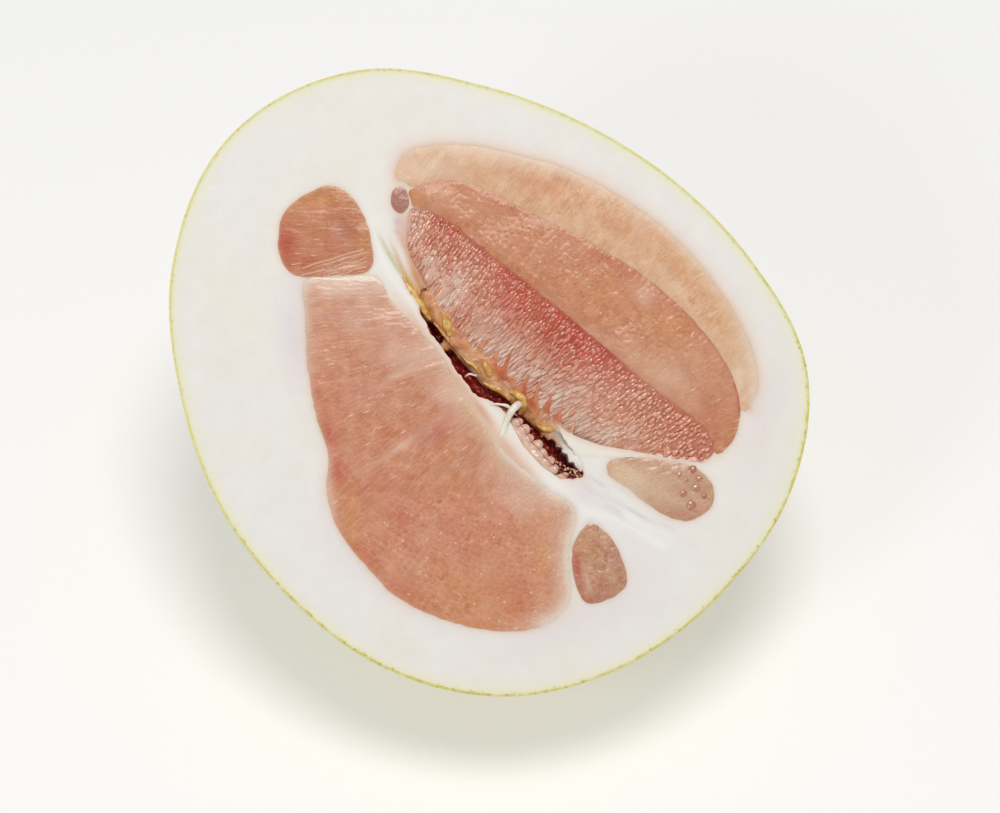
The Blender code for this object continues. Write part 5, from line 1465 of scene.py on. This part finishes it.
def buildInnerVesicles():
    # The inner segment isn't cut but laid open: whole vesicles stand out of it, small and ruby on the
    # ridge, longer, flatter and paler down to the crevice.
    outline = curves["rightInner"]
    look = segments["segmentRightInner"]
    fan = np.array(look["fan"], float)
    for number, kind in enumerate(("beads", "drops")):
        size = innerVesicles[kind]
        wide, deep = innerVesicles["fanSize"]
        rowCount, stepCount = int(wide / size["across"]), int(deep / size["along"])
        row, step = [side.ravel() for side in np.mgrid[0:rowCount, 0:stepCount]]
        seed = 81 + 10 * number
        arc = (row + 0.75 * (chance(seed, row, step) - 0.5)) * size["across"] / innerVesicles["middleReach"]
        arc += math.radians(innerVesicles["fanAngle"])
        reach = (step + 0.5 * (row % 2) + 0.9 * (chance(seed + 1, row, step) - 0.5)) * size["along"]
        reach += innerVesicles["fanReach"]
        place = fan + np.stack([np.cos(arc), np.sin(arc)], 1) * reach[:, None]
        ridgeNear = offLine(place, coarse["rightMiddle"], True)
        limit = innerVesicles["ridgeWidth"] + 3.5 * softNoise(place, 9, seed + 2)
        inside = inwards(place, outline)
        # they may overhang its edge along the ridge and the crevice, and nowhere else
        free = (ridgeNear < 3.5) | (offLine(place, pocket, True) < 4)
        wanted = (inside > np.where(free, 0.3, 0.8)) & (chance(seed + 9, row, step) > 0.08)
        wanted &= (ridgeNear < limit + 1.5) if kind == "beads" else (ridgeNear > limit - 1.5)
        place, ridgeNear, inside, arc = place[wanted], ridgeNear[wanted], inside[wanted], arc[wanted]
        draws = [chance(seed + 3 + k, np.arange(len(place))) for k in range(5)]
        red, pale, amber = (spots(place, look[name]) for name in ("red", "pale", "amber"))
        lay = 0.16 * softNoise(place, 9, seed + 11)   # neighbours lie the same way
        down = np.clip(ridgeNear / 20, 0, 1)
        heap = Heap()
        for i in range(len(place)):
            turn = arc[i] + 0.38 * (draws[0][i] - 0.5) + lay[i]
            outward = np.array([math.cos(turn), math.sin(turn)])
            long = np.interp(draws[1][i], (0, 1), size["long"])
            half = np.interp(draws[2][i], (0, 1), size["half"])
            if kind == "beads":
                long *= 1 + 0.5 * down[i]
            edge = smoothStep(0.2, 1.4, inside[i])
            if kind == "beads":   # small and close along the ridge
                long, half = long * (0.55 + 0.45 * edge), half * (0.7 + 0.3 * edge)
            root, tip = place[i] + outward * long * 0.5, place[i] - outward * long * 0.5
            rootHeight, tipHeight = innerSlope(np.stack([root, tip]))
            rise = (0.04 + 0.17 * draws[3][i]) * (0.4 + 0.6 * edge) - 0.1
            sunk = 0.10 if kind == "beads" else 0.35
            points, faces, end, top = drop((*root, rootHeight - sunk), (*tip, tipHeight + rise), half,
                                           bend=0.05, sides=size["sides"], flatness=size["flatness"])
            own = draws[4][i]
            heap.add(points, faces, end=end, top=top, tone=2 * own - 1,
                     red=np.clip(red[i] * (0.35 + 0.7 * draws[3][i]), 0, 1),
                     pale=np.clip(pale[i] * (0.55 + 0.8 * own), 0, 1),
                     amber=np.clip(amber[i] * (0.5 + 0.8 * own), 0, 1))
        if kind == "drops":
            for tipPlace, rootPlace, half in innerVesicles["large"]:
                root, tip = (np.array(onFace(*corner)) for corner in (rootPlace, tipPlace))
                rootHeight, tipHeight = innerSlope(np.stack([root, tip]))
                points, faces, end, top = drop((*root, rootHeight - 0.8), (*tip, tipHeight - 0.2), half,
                                               bend=0.4, sides=18, flatness=0.36)
                points += 0.16 * softNoise(points, 1.6, 88)[:, None]
                heap.add(points, faces, end=end, top=top, tone=0.4, red=0.0, amber=0.0,
                         pale=0.6 * smoothStep(0.1, 0.6, end))
        heap.piece("ridgeVesicles" if kind == "beads" else "slopeVesicles", innerVesicleSkins, slot="red_flesh")


buildInnerVesicles()

tipBeads = [
    # round vesicles at the small right segment's right end: place in the photograph, half width in millimetres
    (498, 559, 1.1), (503, 567, 1.0), (501, 575, 1.3), (489, 580, 1.2), (496, 590, 1.4), (486, 563, 0.9),
    (507, 583, 0.8), (492, 569, 0.8),
]


def buildTipBeads():
    heap = Heap()
    for i, (column, row, half) in enumerate(tipBeads):
        x, y = onFace(column, row)
        turn = 6.28 * chance(75, np.array([i]))[0]
        reach = np.array([math.cos(turn), math.sin(turn)]) * half * 0.95
        points, faces, end, top = drop((x + reach[0], y + reach[1], -0.08), (x - reach[0], y - reach[1], -0.02),
                                       half, bend=0.06, sides=16, flatness=0.30)
        own = chance(76, np.array([i]))[0]
        # the tip beads' sides get only a little of the painted shade
        heap.add(points, faces, end=0.5 + 0.5 * end, top=0.75 + 0.25 * top, tone=1.4 * own - 0.6,
                 red=0.3 * (column > 488), pale=0.2 * (column < 480), amber=0.0)
    heap.piece("tipBeads", tipVesicleSkins, slot="flesh")


buildTipBeads()


def ribbon(heap, route, widths, flatness, tone, sides=10):
    # A thread through places in the photograph's pixels, each with its own height in millimetres.
    path = np.array([(*onFace(column, row), height) for column, row, height in route])
    path = curveThrough(path, 0.35, closed=False)
    t = np.linspace(0, 1, len(path))
    width = np.interp(t, np.linspace(0, 1, len(widths)), widths) * (1 + 0.25 * softNoise(path, 1.1, 91))
    points, faces = tube(path, width, width * flatness, sides)
    points += 0.09 * softNoise(points, 0.9, 92)[:, None]
    heap.add(points, faces, tone=tone)


strandThreads = [
    # each place's column and row in the photograph and its height in millimetres, then the half widths,
    # flatness, tone and sides
    ([(318, 493, -1.2), (325, 496, 0.2), (333, 496, 0.8), (341, 498, 0.9), (346, 502, 0.2)],
     (0.55, 0.35, 0.28, 0.32, 0.4), 0.7, 0.4, 10),
    ([(335, 524, -0.4), (338, 515, 0.4), (341, 508, 0.9), (345, 502, 1.3), (349, 498, 1.0), (352, 496, 0.2)],
     (1.3, 0.85, 0.8, 1.05, 1.2, 0.8), 0.75, 0.7, 14),
    ([(325, 500, -1.2), (331, 506, -0.9), (337, 510, -0.6)], (0.4, 0.35, 0.4), 0.7, -0.3, 10),
    ([(306, 470, -2.4), (310, 468, -1.6), (316, 470, -1.9)], (0.25, 0.22, 0.25), 0.8, 0.0, 10),
    ([(326, 503, -2.0), (330, 501, -1.5), (334, 503, -1.6)], (0.3, 0.3, 0.3), 0.8, -0.5, 10),
]


def buildStrand():
    # The white strand that arches over the crevice from the core and ends in a rounded knob.
    heap = Heap()
    for route, widths, flatness, tone, sides in strandThreads:
        ribbon(heap, route, widths, flatness, tone, sides)
    heap.piece("strand", creamMembrane, slot="membrane")


buildStrand()


def onShelf(column, row, lift):
    # A place on the dried skins, with its height.
    flat = np.array([onFace(column, row)])
    inner = inwards(flat, coarse["rightInner"])
    return column, row, float((innerSlope(flat) * smoothStep(-6.5, 0.0, inner + 3.5))[0]) + 0.5 + lift


amberThreads = {
    # column and row in the photograph and height in millimetres, then the half widths, flatness and tone
    "besideCore": [
        ([(256, 382, 0.05), (260, 390, 0.1), (265, 398, 0.1), (269, 405, 0.0), (273, 412, -0.4), (278, 419, -1.2)],
         (0.3, 0.65, 0.85, 0.9, 0.7, 0.4), 0.4, 0.4),
    ],
    # the same, with the height counted from the dried skins
    "onShelf": [
        ([(289, 412, -0.1), (291, 419, 0.1), (293, 426, 0.0), (294, 433, -0.2)], (0.4, 0.95, 1.1, 0.5), 0.4, 1.0),
        ([(281, 421, -0.1), (286, 427, 0.0), (291, 434, -0.1), (297, 442, 0.0)], (0.2, 0.4, 0.5, 0.2), 0.5, 0.0),
        ([(303, 449, -0.1), (309, 456, 0.1), (314, 459, -0.1), (319, 466, -0.2)], (0.2, 0.55, 0.45, 0.2), 0.5, 0.6),
        ([(323, 457, 0.0), (326, 463, 0.2), (328, 470, -0.1)], (0.4, 1.0, 0.5), 0.5, 1.2),
        ([(322, 474, -0.1), (330, 479, 0.1), (337, 482, -0.1), (344, 490, -0.1)], (0.3, 0.6, 0.75, 0.3), 0.35, 0.8),
        ([(344, 484, 0.1), (350, 486, 0.5), (355, 491, 0.7), (356, 498, 0.4), (352, 503, 0.1)],
         (0.4, 0.8, 0.9, 0.75, 0.4), 0.6, 1.1),
        ([(366, 513, 0.0), (371, 516, 0.3), (378, 518, 0.3), (385, 518, 0.1)], (0.35, 0.7, 0.75, 0.35), 0.5, 1.1),
        ([(281, 441, 0.0), (286, 443, 0.0), (292, 444, 0.0)], (0.4, 0.6, 0.5), 0.6, -0.4),
    ],
}


def buildMembranes():
    # Golden threads and curled films along the crevice's right side, and the line beside the core.
    heap = Heap()
    for thread in amberThreads["besideCore"]:
        ribbon(heap, *thread)
    for places, widths, flatness, tone in amberThreads["onShelf"]:
        ribbon(heap, [onShelf(*place) for place in places], widths, flatness, tone)
    heap.piece("amberThreads", amberMembrane, slot="membrane", replaces=("crevice_membrane",))


buildMembranes()


bpy.context.view_layer.update()
print("scene ready")
